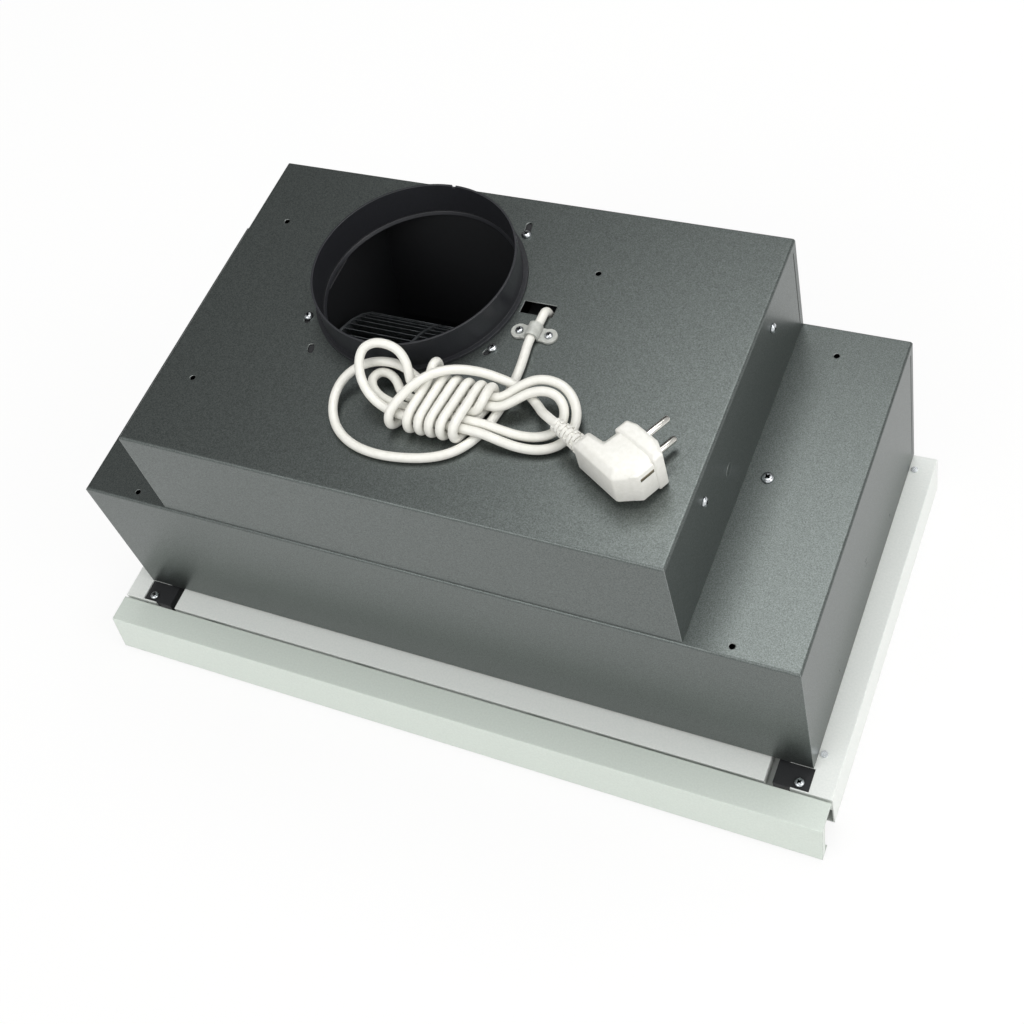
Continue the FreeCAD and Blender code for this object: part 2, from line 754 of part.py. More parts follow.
# ---------------------------------------------------------------- guide rails of the drawer
groove_height = sheet + 2 * slide_gap
groove_depth = runner_width + 2.0
guide_screw_y = guide_front + guide_screw_reach
guide_screw_radius = 1.6
guide_screw_head = 3.7


def guide_rail():
    """Plastic rail with a groove for the drawer's sliding flange and hollows on its outer side."""
    y, length = guide_front, guide_length
    rail = block((guide_inner, guide_outer), (y, y + length), (guide_bottom, guide_top))
    groove_z = (runner_height - groove_height / 2, runner_height + groove_height / 2)
    reach = drawer_side + groove_depth
    rail = rail.cut(block((guide_inner - 1, reach), (y - 1, y + length + 1), groove_z))
    pocket_x = (reach + 2.5, guide_outer + 1)
    pocket_z = (guide_bottom + 3.0, guide_top - 3.0)
    bays = 6
    first = y + 14.0
    bay = (length - 14.0) / bays
    for number in range(bays):
        start = first + number * bay
        rail = rail.cut(block(pocket_x, (start, start + bay - 3.0), pocket_z))
    x = guide_outer - guide_screw_inset
    rail = rail.cut(screw_hole(guide_screw_radius, (x, guide_screw_y, groove_z[1] - 1), (0, 0, 1), guide_width))
    return rail


guide_right = guide_rail()
solids["guide_rail_right"] = guide_right
solids["guide_rail_left"] = mirrored(guide_right)
guide_screw = screw(
    (guide_outer - guide_screw_inset, guide_screw_y, guide_top), (0, 0, 1),
    guide_top - runner_height - groove_height / 2, (guide_screw_head, head_height), guide_screw_radius,
)
solids["guide_screws"] = Part.makeCompound([mirrored(guide_screw), guide_screw])


# ---------------------------------------------------------------- sliding drawer
filter_depth = 9.0
ledge_width = 12.0
ledge_length = 30.0
ledge_gap = 12.0             # behind the keeper
ledge_inset = 30.0           # ahead of the drawer's end
spacer_inset = 35.5
spacer_pair = 75.0
spacer_x = (spacer_inset - drawer_side, -spacer_pair, spacer_pair, drawer_side - spacer_inset)
spacer_z = 26.0
spacer_radius = 5.0
screw_end = 2.5              # screw's end inside the front strip
keeper_x = 0.0
keeper_width = 40.0
keeper_setback = 18.0
keeper_y = frame_front + keeper_setback
keeper_drop = 12.0
tongue_height = 2.4
hook_x = (-150.0, 150.0)
hook_width = 24.0


def drawer_tray():
    """Folded tray: deck with the filter opening, walls, sliding flanges and ledges for the filter."""
    reach = (frame_front, drawer_back)
    top = (deck_top - sheet, deck_top)
    wall_z = (deck_top - drawer_wall, deck_top)
    deck = block((-drawer_side, drawer_side), reach, top)
    opening_x = drawer_side - drawer_rail_width
    deck = deck.cut(
        block(
            (-opening_x, opening_x),
            (frame_front + drawer_rail_width + 5.0, drawer_back - drawer_rail_width),
            (top[0] - 1, top[1] + 1),
        )
    )
    pieces = [deck]
    for y in (frame_front, drawer_back - sheet):
        pieces.append(block((-drawer_side, drawer_side), (y, y + sheet), wall_z))
    ledge_z = top[0] - filter_depth - sheet
    flange_z = (runner_height - sheet / 2, runner_height + sheet / 2)
    side_pieces = [
        block((drawer_side - sheet, drawer_side), reach, wall_z),
        block((drawer_side - sheet, drawer_side + runner_width), reach, flange_z),
    ]
    for y in (keeper_y + ledge_gap, drawer_back - ledge_length - ledge_inset):
        ledge = block(
            (drawer_side - ledge_width - sheet, drawer_side - sheet / 2), (y, y + ledge_length), (ledge_z, ledge_z + sheet)
        )
        side_pieces.append(ledge)
    for piece in side_pieces:
        pieces += [piece, mirrored(piece)]
    keeper = block(
        (keeper_x - keeper_width / 2, keeper_x + keeper_width / 2), (keeper_y, keeper_y + sheet),
        (deck_top - keeper_drop, deck_top),
    )
    tray = fused(pieces + [keeper])
    keyway_z = latch_z()
    tray = tray.cut(
        block((keeper_x - 9.0, keeper_x + 9.0), (keeper_y - 1, keeper_y + 2), (keyway_z - 0.4, keyway_z + tongue_height + 0.4))
    )
    for x in hook_x:
        half = hook_width / 2 + 0.4
        tray = tray.cut(
            block((x - half, x + half), (drawer_back - 2, drawer_back + 1), (keyway_z - 0.4, keyway_z + tongue_height + 0.4))
        )
    for x in spacer_x:
        tray = tray.cut(screw_hole(screw_shank, (x, frame_front - 1, spacer_z), (0, 1, 0), 4))
    return tray


def latch_z():
    """Height of the filter's tongue and hooks, in the middle of its frame."""
    return deck_top - sheet - filter_depth / 2 - tongue_height / 2


solids["drawer_tray"] = drawer_tray()
solids["strip_spacers"] = Part.makeCompound(
    [
        facet_rod(spacer_radius, (x, strip_back, spacer_z), (0, 1, 0), strip_gap, head_sides).cut(
            screw_hole(screw_shank, (x, strip_back - 1, spacer_z), (0, 1, 0), 4)
        )
        for x in spacer_x
    ]
)
solids["strip_screws"] = Part.makeCompound(
    [
        screw((x, frame_front + sheet, spacer_z), (0, 1, 0), strip_gap + 2 * sheet + screw_end)
        for x in spacer_x
    ]
)


def front_strip():
    """Folded strip with a leaning face, closed at both ends by short returns."""
    x = -frame_side
    top, low = frame_height, strip_floor_gap
    lean = strip_lean / (top - low)
    outline = [
        (strip_back, top - strip_lip),
        (strip_back, top),
        (strip_front, top),
        (strip_front - strip_lean, low),
        (strip_front - strip_lean + strip_return, low),
        (strip_front - strip_lean + strip_return, low + sheet),
        (strip_front - strip_lean + sheet * (1 + lean), low + sheet),
        (strip_front + sheet * (1 - lean), top - sheet),
        (strip_back - sheet, top - sheet),
        (strip_back - sheet, top - strip_lip),
    ]
    strip = prism([(x, y, z) for y, z in outline], (2 * frame_side, 0, 0))
    end = [
        (strip_front, top),
        (strip_front - strip_lean, low),
        (strip_front - strip_lean + end_return, low),
        (strip_front + end_return, top),
    ]
    for end_x in (x, frame_side - sheet):
        strip = strip.fuse(prism([(end_x, y, z) for y, z in end], (sheet, 0, 0)))
    strip = strip.removeSplitter()
    for place in spacer_x:
        tab = block(
            (place - 9.0, place + 9.0), (strip_back - sheet, strip_back), (spacer_z - 8.0, top - strip_lip + 0.1)
        )
        strip = strip.fuse(tab)
    strip = strip.removeSplitter()
    for place in spacer_x:
        strip = strip.cut(screw_hole(screw_shank, (place, strip_back - 3, spacer_z), (0, 1, 0), 6))

    def long_fold(point, edge):
        on_top = abs(point.z - top) < 0.01 and abs(point.y - strip_front) < 0.01
        return on_top and edge.Length > frame_side

    return rounded(strip, 0.8, long_fold)


end_return = 6.0
solids["front_strip"] = front_strip()


def mesh_frame(x, y, z, wall=12.0, lip=1.2):
    """Open frame of U section round a filter, with its groove facing inwards."""
    frame = block(x, y, z).cut(
        block((x[0] + wall, x[1] - wall), (y[0] + wall, y[1] - wall), (z[0] - 1, z[1] + 1))
    )
    groove = block((x[0] + lip, x[1] - lip), (y[0] + lip, y[1] - lip), (z[0] + lip, z[1] - lip))
    return frame.cut(groove)


def mesh_pack(x, y, z, lip=1.2, pleat=21.0, layer=1.6):
    """Pleated grease mesh in the frame's groove; its folds run from front to back."""
    play = 0.1
    left, right = x[0] + lip + play, x[1] - lip - play
    low, high = z[0] + lip + play, z[1] - lip - play
    count = round((right - left) / pleat)
    step = (right - left) / count
    upper = [(left, high)]
    lower = [(left, high - layer)]
    for number in range(count):
        middle = left + (number + 0.5) * step
        upper += [(middle, low + layer), (left + (number + 1) * step, high)]
        lower += [(middle, low), (left + (number + 1) * step, high - layer)]
    outline = upper + lower[::-1]
    depth = (y[1] - lip - play) - (y[0] + lip + play)
    return prism([(px, y[0] + lip + play, pz) for px, pz in outline], (0, depth, 0))


drawer_filter_x = (-drawer_side + sheet + 2.5, drawer_side - sheet - 2.5)
drawer_filter_y = (keeper_y + sheet + 9.0, drawer_back - sheet - sheet_gap)
drawer_filter_z = (deck_top - sheet - filter_depth, deck_top - sheet)
latch_travel = 6.0
latch_width = 17.0
latch_recess = 14.0


def drawer_filter_frame():
    frame = mesh_frame(drawer_filter_x, drawer_filter_y, drawer_filter_z)
    z = latch_z()
    hooks = [
        block(
            (x - hook_width / 2, x + hook_width / 2),
            (drawer_filter_y[1] - 1.0, drawer_back + 1.5),
            (z, z + tongue_height),
        )
        for x in hook_x
    ]
    frame = fused([frame] + hooks)
    slideway = block(
        (keeper_x - latch_width / 2 - 0.4, keeper_x + latch_width / 2 + 0.4),
        (drawer_filter_y[0] - 1, drawer_filter_y[0] + latch_recess),
        (z - 0.4, z + tongue_height + 0.4),
    )
    grip = block(
        (keeper_x - 7.4, keeper_x + 7.4),
        (drawer_filter_y[0] - 1, drawer_filter_y[0] + 10.0 + latch_travel),
        (drawer_filter_z[0] - 1, z + 0.1),
    )
    return frame.cut(slideway).cut(grip)


def filter_latch():
    """Sliding tongue with a finger grip below; springs forward into the drawer's keeper."""
    z = latch_z()
    tongue = block(
        (keeper_x - latch_width / 2, keeper_x + latch_width / 2),
        (keeper_y - 2.0, drawer_filter_y[0] + latch_recess - 0.5 - latch_travel),
        (z, z + tongue_height),
    )
    nose = block((keeper_x - latch_width / 2 - 1, keeper_x - 8.5), (keeper_y - 3, drawer_filter_y[0] - 2.0), (z - 1, z + 4))
    nose = nose.fuse(nose.translated(Vector(latch_width / 2 + 8.5 + 1, 0, 0)))
    grip = block(
        (keeper_x - 7.0, keeper_x + 7.0),
        (drawer_filter_y[0] + 1.0, drawer_filter_y[0] + 9.5),
        (drawer_filter_z[0] - 4.0, z + 0.5),
    )
    return fused([tongue.cut(nose), grip])


solids["drawer_filter_frame"] = drawer_filter_frame()
solids["drawer_filter_mesh"] = mesh_pack(drawer_filter_x, drawer_filter_y, drawer_filter_z).cut(
    block(
        (keeper_x - keeper_width / 3, keeper_x + keeper_width / 3),
        (drawer_filter_y[0], drawer_filter_y[0] + latch_recess + 1.0),
        (0, frame_height),
    )
)
solids["filter_latch"] = filter_latch()


# ---------------------------------------------------------------- switch box in the front strip
switch_inset = 59.0          # from the strip's right end
switch_width = 120.0
switch_depth = 15.5
switch_x = (frame_side - switch_inset - switch_width, frame_side - switch_inset)
switch_y = (strip_back - sheet - switch_depth, strip_back - sheet)
switch_z = (8.0, 21.0)
button_names = ("button_off", "button_low", "button_middle", "button_high", "button_light")
button_size = (12.0, 8.0)
button_pitch = 21.0
button_travel = 2.0
button_reveal = 2.5
button_play = 0.35
pocket_depth = 9.0


def button_centre(number):
    middle = (len(button_names) - 1) / 2
    return (sum(switch_x) / 2 + (number - middle) * button_pitch, sum(switch_y) / 2)


def switch_box():
    """Moulded box behind the strip with a pocket for each button; two ears screw to the strip."""
    box = block(switch_x, switch_y, switch_z)
    box = rounded(box, 1.5, lambda point, edge: abs(point.z - sum(switch_z) / 2) < 0.01 and point.y < switch_y[0] + 1)
    for number in range(len(button_names)):
        x, y = button_centre(number)
        half_x, half_y = button_size[0] / 2 + button_play, button_size[1] / 2 + button_play
        box = box.cut(
            block((x - half_x, x + half_x), (y - half_y, y + half_y), (switch_z[0] - 1, switch_z[0] + pocket_depth))
        )
    return box


def button(number):
    """Key with a rounded face; its stem slides up into the pocket."""
    x, y = button_centre(number)
    half_x, half_y = button_size[0] / 2, button_size[1] / 2
    low = switch_z[0] - button_reveal
    high = switch_z[0] + pocket_depth - button_travel - 0.3
    key = block((x - half_x, x + half_x), (y - half_y, y + half_y), (low, high))
    return key.makeChamfer(0.8, [edge for edge in key.Edges if abs(edge.CenterOfMass.z - low) < 0.01])


solids["switch_box"] = switch_box()
for number, name in enumerate(button_names):
    solids[name] = button(number)


# ---------------------------------------------------------------- fixed filters over the drawer
bar_foot = 24.0
bar_height = 10.0
fixed_filter_depth = 9.0


def centre_bar():
    """T-bar between the front and rear lips that carries the inner edges of the fixed filters."""
    foot = block(
        (-bar_foot / 2, bar_foot / 2),
        (front + housing_lip + sheet_gap, back - housing_lip - sheet_gap),
        (body_bottom, body_bottom + sheet),
    )
    web = block(
        (-sheet / 2, sheet / 2),
        (front + sheet + sheet_gap, back - sheet - sheet_gap),
        (body_bottom + sheet, body_bottom + sheet + bar_height),
    )
    return fused([foot, web])


solids["centre_bar"] = centre_bar()
fixed_filter_y = (front + sheet + 1.0, back - sheet - 1.0)
fixed_filter_z = (body_bottom + sheet, body_bottom + sheet + fixed_filter_depth)
for hand, name in ((-1, "left"), (1, "right")):
    near = hand * (sheet / 2 + 1.0)
    far = hand * (side - sheet - 1.5)
    span = (min(near, far), max(near, far))
    solids["filter_frame_" + name] = mesh_frame(span, fixed_filter_y, fixed_filter_z)
    solids["filter_mesh_" + name] = mesh_pack(span, fixed_filter_y, fixed_filter_z)


# ---------------------------------------------------------------- lamps behind the drawer
lamp_panel_z = 14.0
lamp_panel_gap = 3.0
lamp_x = (-190.0, 190.0)
lamp_flange_radius = 27.0
lamp_radius = 23.0
lamp_flange = 1.4
lamp_height = 14.4
lamp_sides = 28
lens_radius = 20.3
lens_thickness = 1.6


def lamp_panel():
    """Fixed white cover behind the drawer with two round lamp holes."""
    y = (drawer_back + lamp_panel_gap, back - sheet - sheet_gap)
    x = guide_inner - 1.0
    plate = block((-x, x), y, (lamp_panel_z, lamp_panel_z + sheet))
    lips = [
        block((-x, x), (y[0], y[0] + sheet), (lamp_panel_z, frame_height - sheet - 2.0)),
        block((-x, x), (y[1] - sheet, y[1]), (lamp_panel_z, lamp_panel_z + 14.0)),
    ]
    panel = fused([plate] + lips)
    for place in lamp_x:
        seat = facet_rod(lamp_radius + 0.3, (place, lamp_y(), lamp_panel_z - 1), (0, 0, 1), 4, lamp_sides)
        panel = panel.cut(seat)
    return panel


def lamp_y():
    return (drawer_back + lamp_panel_gap + back) / 2


def lamp_housing(x):
    """Pressed cup with a flange under the panel and a heat sink on top."""
    low = lamp_panel_z - lamp_flange
    flange = facet_rod(lamp_flange_radius, (x, lamp_y(), low), (0, 0, 1), lamp_flange, lamp_sides)
    return flange.fuse(facet_rod(lamp_radius, (x, lamp_y(), low), (0, 0, 1), lamp_height, lamp_sides))


def lamp_lens(x):
    low = lamp_panel_z - lamp_flange - lens_thickness
    return facet_rod(lens_radius, (x, lamp_y(), low), (0, 0, 1), lens_thickness, lamp_sides)


solids["lamp_panel"] = lamp_panel()
solids["lamp_housings"] = Part.makeCompound([lamp_housing(x) for x in lamp_x])
solids["lamp_lenses"] = Part.makeCompound([lamp_lens(x) for x in lamp_x])


# ---------------------------------------------------------------- mains cord
low_z = tower_top + cord_radius + 0.3        # strands lying on the roof
core_z = low_z + cord_step                   # straight strands in the middle of the hank
high_z = core_z + cord_step                  # turns that lie over them
lanes = [hank_front + number * lane_step for number in range(5)]
east, west, north, south = (1, 0, 0), (-1, 0, 0), (0, 1, 0), (0, -1, 0)


def tangent_arc(start, heading, end):
    """Arc from start to end that leaves along heading, or a line if that is straight on."""
    chord = end - start
    along = Vector(heading).normalize()
    across = chord - along * chord.dot(along)
    if across.Length < 1e-5:
        return Part.LineSegment(start, end)
    across.normalize()
    centre = start + across * (chord.dot(chord) / (2 * chord.dot(across)))
    middle = ((start + end) * 0.5 - centre).normalize() * (start - centre).Length
    if chord.dot(along) < 0:
        middle = middle * -1
    return Part.Arc(start, centre + middle, end)


def biarc(start, heading, end, arrival):
    """Two arcs that join start and end and keep the headings at both."""
    heading, arrival = Vector(heading).normalize(), Vector(arrival).normalize()
    gap = end - start
    if gap.cross(heading).Length < 1e-6 and gap.cross(arrival).Length < 1e-6:
        return [Part.LineSegment(start, end)]
    total = heading + arrival
    square, linear = total.dot(total) - 4, -2 * gap.dot(total)
    if abs(square) < 1e-9:
        reach = -gap.dot(gap) / linear
    else:
        root = math.sqrt(linear * linear - 4 * square * gap.dot(gap))
        reach = min(value for value in ((-linear + root) / 2 / square, (-linear - root) / 2 / square) if value > 0)
    first, last = start + heading * reach, end - arrival * reach
    joint = (first + last) * 0.5
    return [tangent_arc(start, heading, joint), tangent_arc(joint, last - first, end)]


def route(stations):
    """Biarcs through stations of (x, y, z, heading)."""
    curves = []
    for (x, y, z, heading), (u, v, w, arrival) in zip(stations, stations[1:]):
        curves += biarc(Vector(x, y, z), Vector(*heading), Vector(u, v, w), Vector(*arrival))
    return curves


def beside(curves, offset):
    """Flat curves again, moved to the right of their heading by the offset."""
    moved = []
    for curve in curves:
        places = []
        for share in (0, 0.5, 1):
            at = curve.FirstParameter + share * (curve.LastParameter - curve.FirstParameter)
            heading = curve.tangent(at)[0]
            places.append(curve.value(at) + Vector(heading.y, -heading.x, 0) * offset)
        straight = isinstance(curve, Part.LineSegment)
        moved.append(Part.LineSegment(places[0], places[2]) if straight else Part.Arc(*places))
    return moved


def lane(number, start, end):
    return [Part.LineSegment(Vector(start, lanes[number], core_z), Vector(end, lanes[number], core_z))]


def hank_route():
    """Cord of the hank: three loops to the left, two to the right and six turns round the middle."""
    big_loop = route([
        (hank_start[0], hank_start[1], low_z, south),
        (hank_start[0], hank_start[1] - 2 * cord_radius, low_z, south),
        (59.6, -20.0, low_z, (-0.05, -1, 0)),
        (53.8, -46.0, low_z, (-0.35, -1, 0)),
        (33.0, -70.5, low_z, (-1, -0.5, 0)),
        (0.0, -78.5, low_z, (-1, -0.05, 0)),
        (-36.0, -71.5, low_z, (-1, 0.5, 0)),
        (-61.0, -42.0, low_z + 3.0, (0, 1, 0.2)),
        (-38.0, -13.6, core_z, east),
        (-6.0, lanes[4], core_z, east),
    ])
    tall_loop = route([
        (waist_left, lanes[0], core_z, west),
        (-25.0, -51.0, core_z + 4.0, (-1, 0.2, 0.4)),
        (-46.5, -29.0, core_z + 15.5, (0.05, 1, 0.4)),
        (-35.0, -12.0, core_z + 20.0, (1, 0, -0.1)),
        (-23.6, -20.4, core_z + 10.9, (0.55, -0.72, -0.8)),
        (-8.5, lanes[3], core_z, east),
    ])
    small_loop = route([
        (waist_left, lanes[1], core_z, west),
        (-31.2, -38.4, core_z, north),
        (-25.2, -32.4, core_z, east),
        (waist_left, lanes[2], core_z, east),
    ])
    right = route([
        (waist_right, lanes[4], core_z, east),
        (88.0, 0.5, core_z, east),
        (115.0, -25.0, core_z, south),
        (92.0, -52.3, core_z, west),
        (waist_right, lanes[0], core_z, west),
    ])
    curves = big_loop + lane(4, -6.0, waist_right) + right + lane(0, waist_right, waist_left)
    curves += tall_loop + lane(3, -8.5, waist_right) + beside(right, lane_step)
    curves += lane(1, waist_right, waist_left) + small_loop

    x = wrap_exit
    front_y, rear_y = lanes[0] - wrap_play, lanes[4] + wrap_play
    under = (-wrap_under, lanes[0] - lanes[4], 0)
    over = (wrap_over, lanes[4] - lanes[0], 0)
    turns = [
        (waist_left, lanes[2], core_z, east),
        (x - 9.5, lanes[2], core_z, east),
        (x - 1.8, lanes[2] + 1.3, core_z + 4.8, (0.65, 0.5, 0.6)),
        (x, lanes[3] + 2.4, high_z + 0.1, north),
    ]
    for number in range(wrap_count):
        turns += [(x, rear_y, high_z, over), (x, rear_y, low_z, under)]
        x -= wrap_under
        turns += [(x, front_y, low_z, under), (x, front_y, high_z, over)]
        x += wrap_over
    turns += [
        (x, rear_y, high_z, over),
        (x + 1.0, lanes[4] + 6.0, high_z, north),
        (x + 11.0, -7.5, core_z + 3.0, east),
        (40.0, -7.0, core_z + 1.0, east),
        (62.0, -8.5, high_z + 0.2, (1, -0.2, 0)),
    ]
    for distance in (2 * tail_length, tail_length):
        place = relief_start - cord_arrival * distance
        turns.append((place.x, place.y, place.z, tuple(cord_arrival)))
    return curves + route(turns)


def rounded_route(points):
    """Straight runs with an arc at each inner point, as large as its two runs allow."""
    places = [Vector(*point) for point in points]
    curves = []
    last = places[0]
    for before, corner, after in zip(places, places[1:], places[2:]):
        come, go = (corner - before), (after - corner)
        turn = come.getAngle(go)
        trim = 0.45 * min(come.Length, go.Length)
        print("cord radius", round(trim / math.tan(turn / 2), 1))
        start, end = corner - come.normalize() * trim, corner + go.normalize() * trim
        curves += [Part.LineSegment(last, start), tangent_arc(start, come, end)]
        last = end
    return curves + [Part.LineSegment(last, places[-1])]


def cord_tube(curves):
    """Faceted tube along the curves, whose volume is compared with section times length."""
    first = curves[0]
    heading = first.tangent(first.FirstParameter)[0]
    turns = [2 * math.pi * (number + 0.5) / cord_sides for number in range(cord_sides)]
    ring = [Vector(cord_radius * math.cos(turn), cord_radius * math.sin(turn), 0) for turn in turns]
    section = Part.makePolygon(ring + ring[:1])
    turned = FreeCAD.Rotation(Vector(0, 0, 1), heading)
    section.Placement = FreeCAD.Placement(first.value(first.FirstParameter), turned)
    tube = Part.Wire([curve.toShape() for curve in curves]).makePipeShell([section], True, False)
    length = sum(curve.length() for curve in curves)
    area = cord_sides / 2 * cord_radius ** 2 * math.sin(2 * math.pi / cord_sides)
    print("cord length", round(length, 1), "volume", round(tube.Volume), "of", round(area * length))
    return tube


def least_gap(curves, step=1.5):
    """Smallest distance between parts of the cord that are not next to each other on it."""
    points = []
    run = 0.0
    for curve in curves:
        count = max(1, round(curve.length() / step))
        for number in range(count):
            at = curve.FirstParameter + (curve.LastParameter - curve.FirstParameter) * number / count
            points.append((run + curve.length() * number / count, curve.value(at)))
        run += curve.length()
    least = 1e9
    for number, (run, place) in enumerate(points):
        for other_run, other in points[number + 1:]:
            if other_run - run > 7 * cord_radius and abs(other.x - place.x) + abs(other.y - place.y) < 12 * cord_radius:
                least = min(least, (other - place).Length)
    return least - 2 * cord_radius


# Angled plug lying on the roof; its own axes are the pins' heading and the line across its face
pin_heading = Vector(0.47, 0.88, 0).normalize()
plug_across = Vector(pin_heading.y, -pin_heading.x, 0)
plug_face = Vector(plug_place[0], plug_place[1], tower_top + sheet_gap + plug_height / 2)
plug_outline = (
    (-16.0, -2.5), (-8.5, 0.0), (10.0, 0.0), (20.0, -5.0), (20.0, -26.0),
    (8.5, -38.5), (-30.0, -37.5), (-30.0, -22.5), (-17.0, -21.0),
)
cord_arrival = plug_across
relief_axis = -30.0          # cord entry behind the plug's face
relief_rise = 2.4            # cord entry above the plug's middle
relief_start = plug_face + plug_across * (plug_outline[6][0] - relief_length)
relief_start = relief_start + pin_heading * relief_axis + Vector(0, 0, relief_rise)


def plug_body():
    """Moulded plug with bevelled upper and lower edges."""
    z = -plug_height / 2
    corners = [plug_face + plug_across * across + pin_heading * along + Vector(0, 0, z) for across, along in plug_outline]
    body = Part.Face(Part.makePolygon(corners + corners[:1])).extrude(Vector(0, 0, plug_height))
    flat = [edge for edge in body.Edges if abs(abs(edge.CenterOfMass.z - plug_face.z) + z) < 0.01]
    return body.makeChamfer(plug_bevel, flat)


def plug_relief():
    """Ribbed sleeve that tapers from the plug to the cord."""
    pitch = relief_length / relief_ribs
    sleeve = []
    for number in range(relief_ribs):
        start = relief_start + plug_across * (number * pitch)
        radius = relief_radius[0] + (relief_radius[1] - relief_radius[0]) * number / (relief_ribs - 1)
        sleeve.append(facet_rod(radius, start, plug_across, pitch * 0.6, 10))
        sleeve.append(facet_rod(radius - 1.0, start, plug_across, pitch, 10))
    return fused(sleeve)


def plug_pins():
    pins = []
    for hand in (-1, 1):
        start = plug_face + plug_across * (hand * pin_lean) + Vector(0, 0, -hand * pin_spacing / 2)
        pins.append(facet_rod(pin_radius, start, pin_heading, pin_length, 12))
    return Part.makeCompound(pins)


hank = hank_route()
print("hank, least gap to itself", round(least_gap(hank), 2))
solids["cord_hank"] = cord_tube(hank)
clamp_x = sum(clamp_screw_x) / 2
bend_top = Vector(lead_x, lead_y - lead_bend, low_z)
exit_curves = [
    Part.LineSegment(Vector(lead_x, lead_y, terminal_top), Vector(lead_x, lead_y, low_z - lead_bend)),
    tangent_arc(Vector(lead_x, lead_y, low_z - lead_bend), Vector(0, 0, 1), bend_top),
]
solids["cord_lead"] = cord_tube(exit_curves + rounded_route([
    tuple(bend_top),
    (lead_x, lead_y - lead_bend - 4.5, low_z),
    (clamp_x, clamp_y + 7.5, low_z),
    (clamp_x, clamp_y - 8.5, low_z),
    (hank_start[0] - 2.5, hank_start[1] + 12.0, low_z),
    (hank_start[0], hank_start[1] + 5.0, low_z),
    (hank_start[0], hank_start[1], low_z),
]))
tail_start = relief_start - cord_arrival * tail_length
solids["cord_tail"] = cord_tube([Part.LineSegment(tail_start, relief_start)])
solids["plug_body"] = plug_body()
solids["plug_relief"] = plug_relief()
solids["plug_pins"] = plug_pins()


# ---------------------------------------------------------------- files
os.makedirs("parts", exist_ok=True)
for name, shape in solids.items():
    shape.exportStep("parts/" + name + ".step")
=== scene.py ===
import bmesh
import bpy
import math
from mathutils import Matrix, Vector


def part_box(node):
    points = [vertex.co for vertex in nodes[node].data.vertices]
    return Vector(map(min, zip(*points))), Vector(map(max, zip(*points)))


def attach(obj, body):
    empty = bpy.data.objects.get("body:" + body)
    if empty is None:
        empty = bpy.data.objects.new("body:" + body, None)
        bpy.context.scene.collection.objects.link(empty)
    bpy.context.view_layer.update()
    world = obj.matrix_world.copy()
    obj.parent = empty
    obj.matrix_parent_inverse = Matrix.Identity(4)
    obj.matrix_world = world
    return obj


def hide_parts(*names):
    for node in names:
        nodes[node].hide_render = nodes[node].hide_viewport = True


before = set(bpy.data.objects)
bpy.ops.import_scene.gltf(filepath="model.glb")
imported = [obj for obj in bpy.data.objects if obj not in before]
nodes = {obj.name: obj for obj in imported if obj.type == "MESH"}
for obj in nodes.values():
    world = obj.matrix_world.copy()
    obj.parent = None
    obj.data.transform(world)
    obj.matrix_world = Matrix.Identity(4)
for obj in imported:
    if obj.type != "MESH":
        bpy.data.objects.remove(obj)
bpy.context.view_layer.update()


# ---------------------------------------------------------------- camera
# The photographer stood at the front right and looked down on the hood with a moderately long lens.
# Place, turn, lens and shift were solved together from the hood's corners in the picture.
camera_data = bpy.data.cameras.new("photo camera")
camera_data.sensor_width = 36.0
camera_data.lens = 56.228
camera_data.shift_x = 0.04502
camera_data.shift_y = -0.08108
camera_data.clip_end = 20.0
camera = bpy.data.objects.new("photo camera", camera_data)
camera.location = (0.46758, -0.54761, 1.09891)
camera.rotation_euler = [math.radians(turn) for turn in (36.6471, 13.0965, 23.4193)]
bpy.context.collection.objects.link(camera)
bpy.context.scene.camera = camera
bpy.context.scene.view_settings.view_transform = "Standard"


# ---------------------------------------------------------------- mains cord
# Round white PVC cord with a soft satin jacket. It leaves the terminal box through the slot in
# the roof, passes the clamp, and is bundled into loops with six turns round their middle.
def linear(code):
    """Scene colour of an sRGB hex value."""
    parts = [int(code[place : place + 2], 16) / 255 for place in (1, 3, 5)]
    light = [part / 12.92 if part <= 0.04045 else ((part + 0.055) / 1.055) ** 2.4 for part in parts]
    return light + [1.0]


def add(material, kind, inputs=None, **settings):
    """Adds a node. A value of inputs is a plain value, or another node's output to join to that
    socket."""
    tree = material.node_tree
    made = tree.nodes.new(kind)
    for name, value in settings.items():
        setattr(made, name, value)
    for socket, value in (inputs or {}).items():
        if isinstance(value, bpy.types.NodeSocket):
            tree.links.new(value, made.inputs[socket])
        else:
            made.inputs[socket].default_value = value
    return made


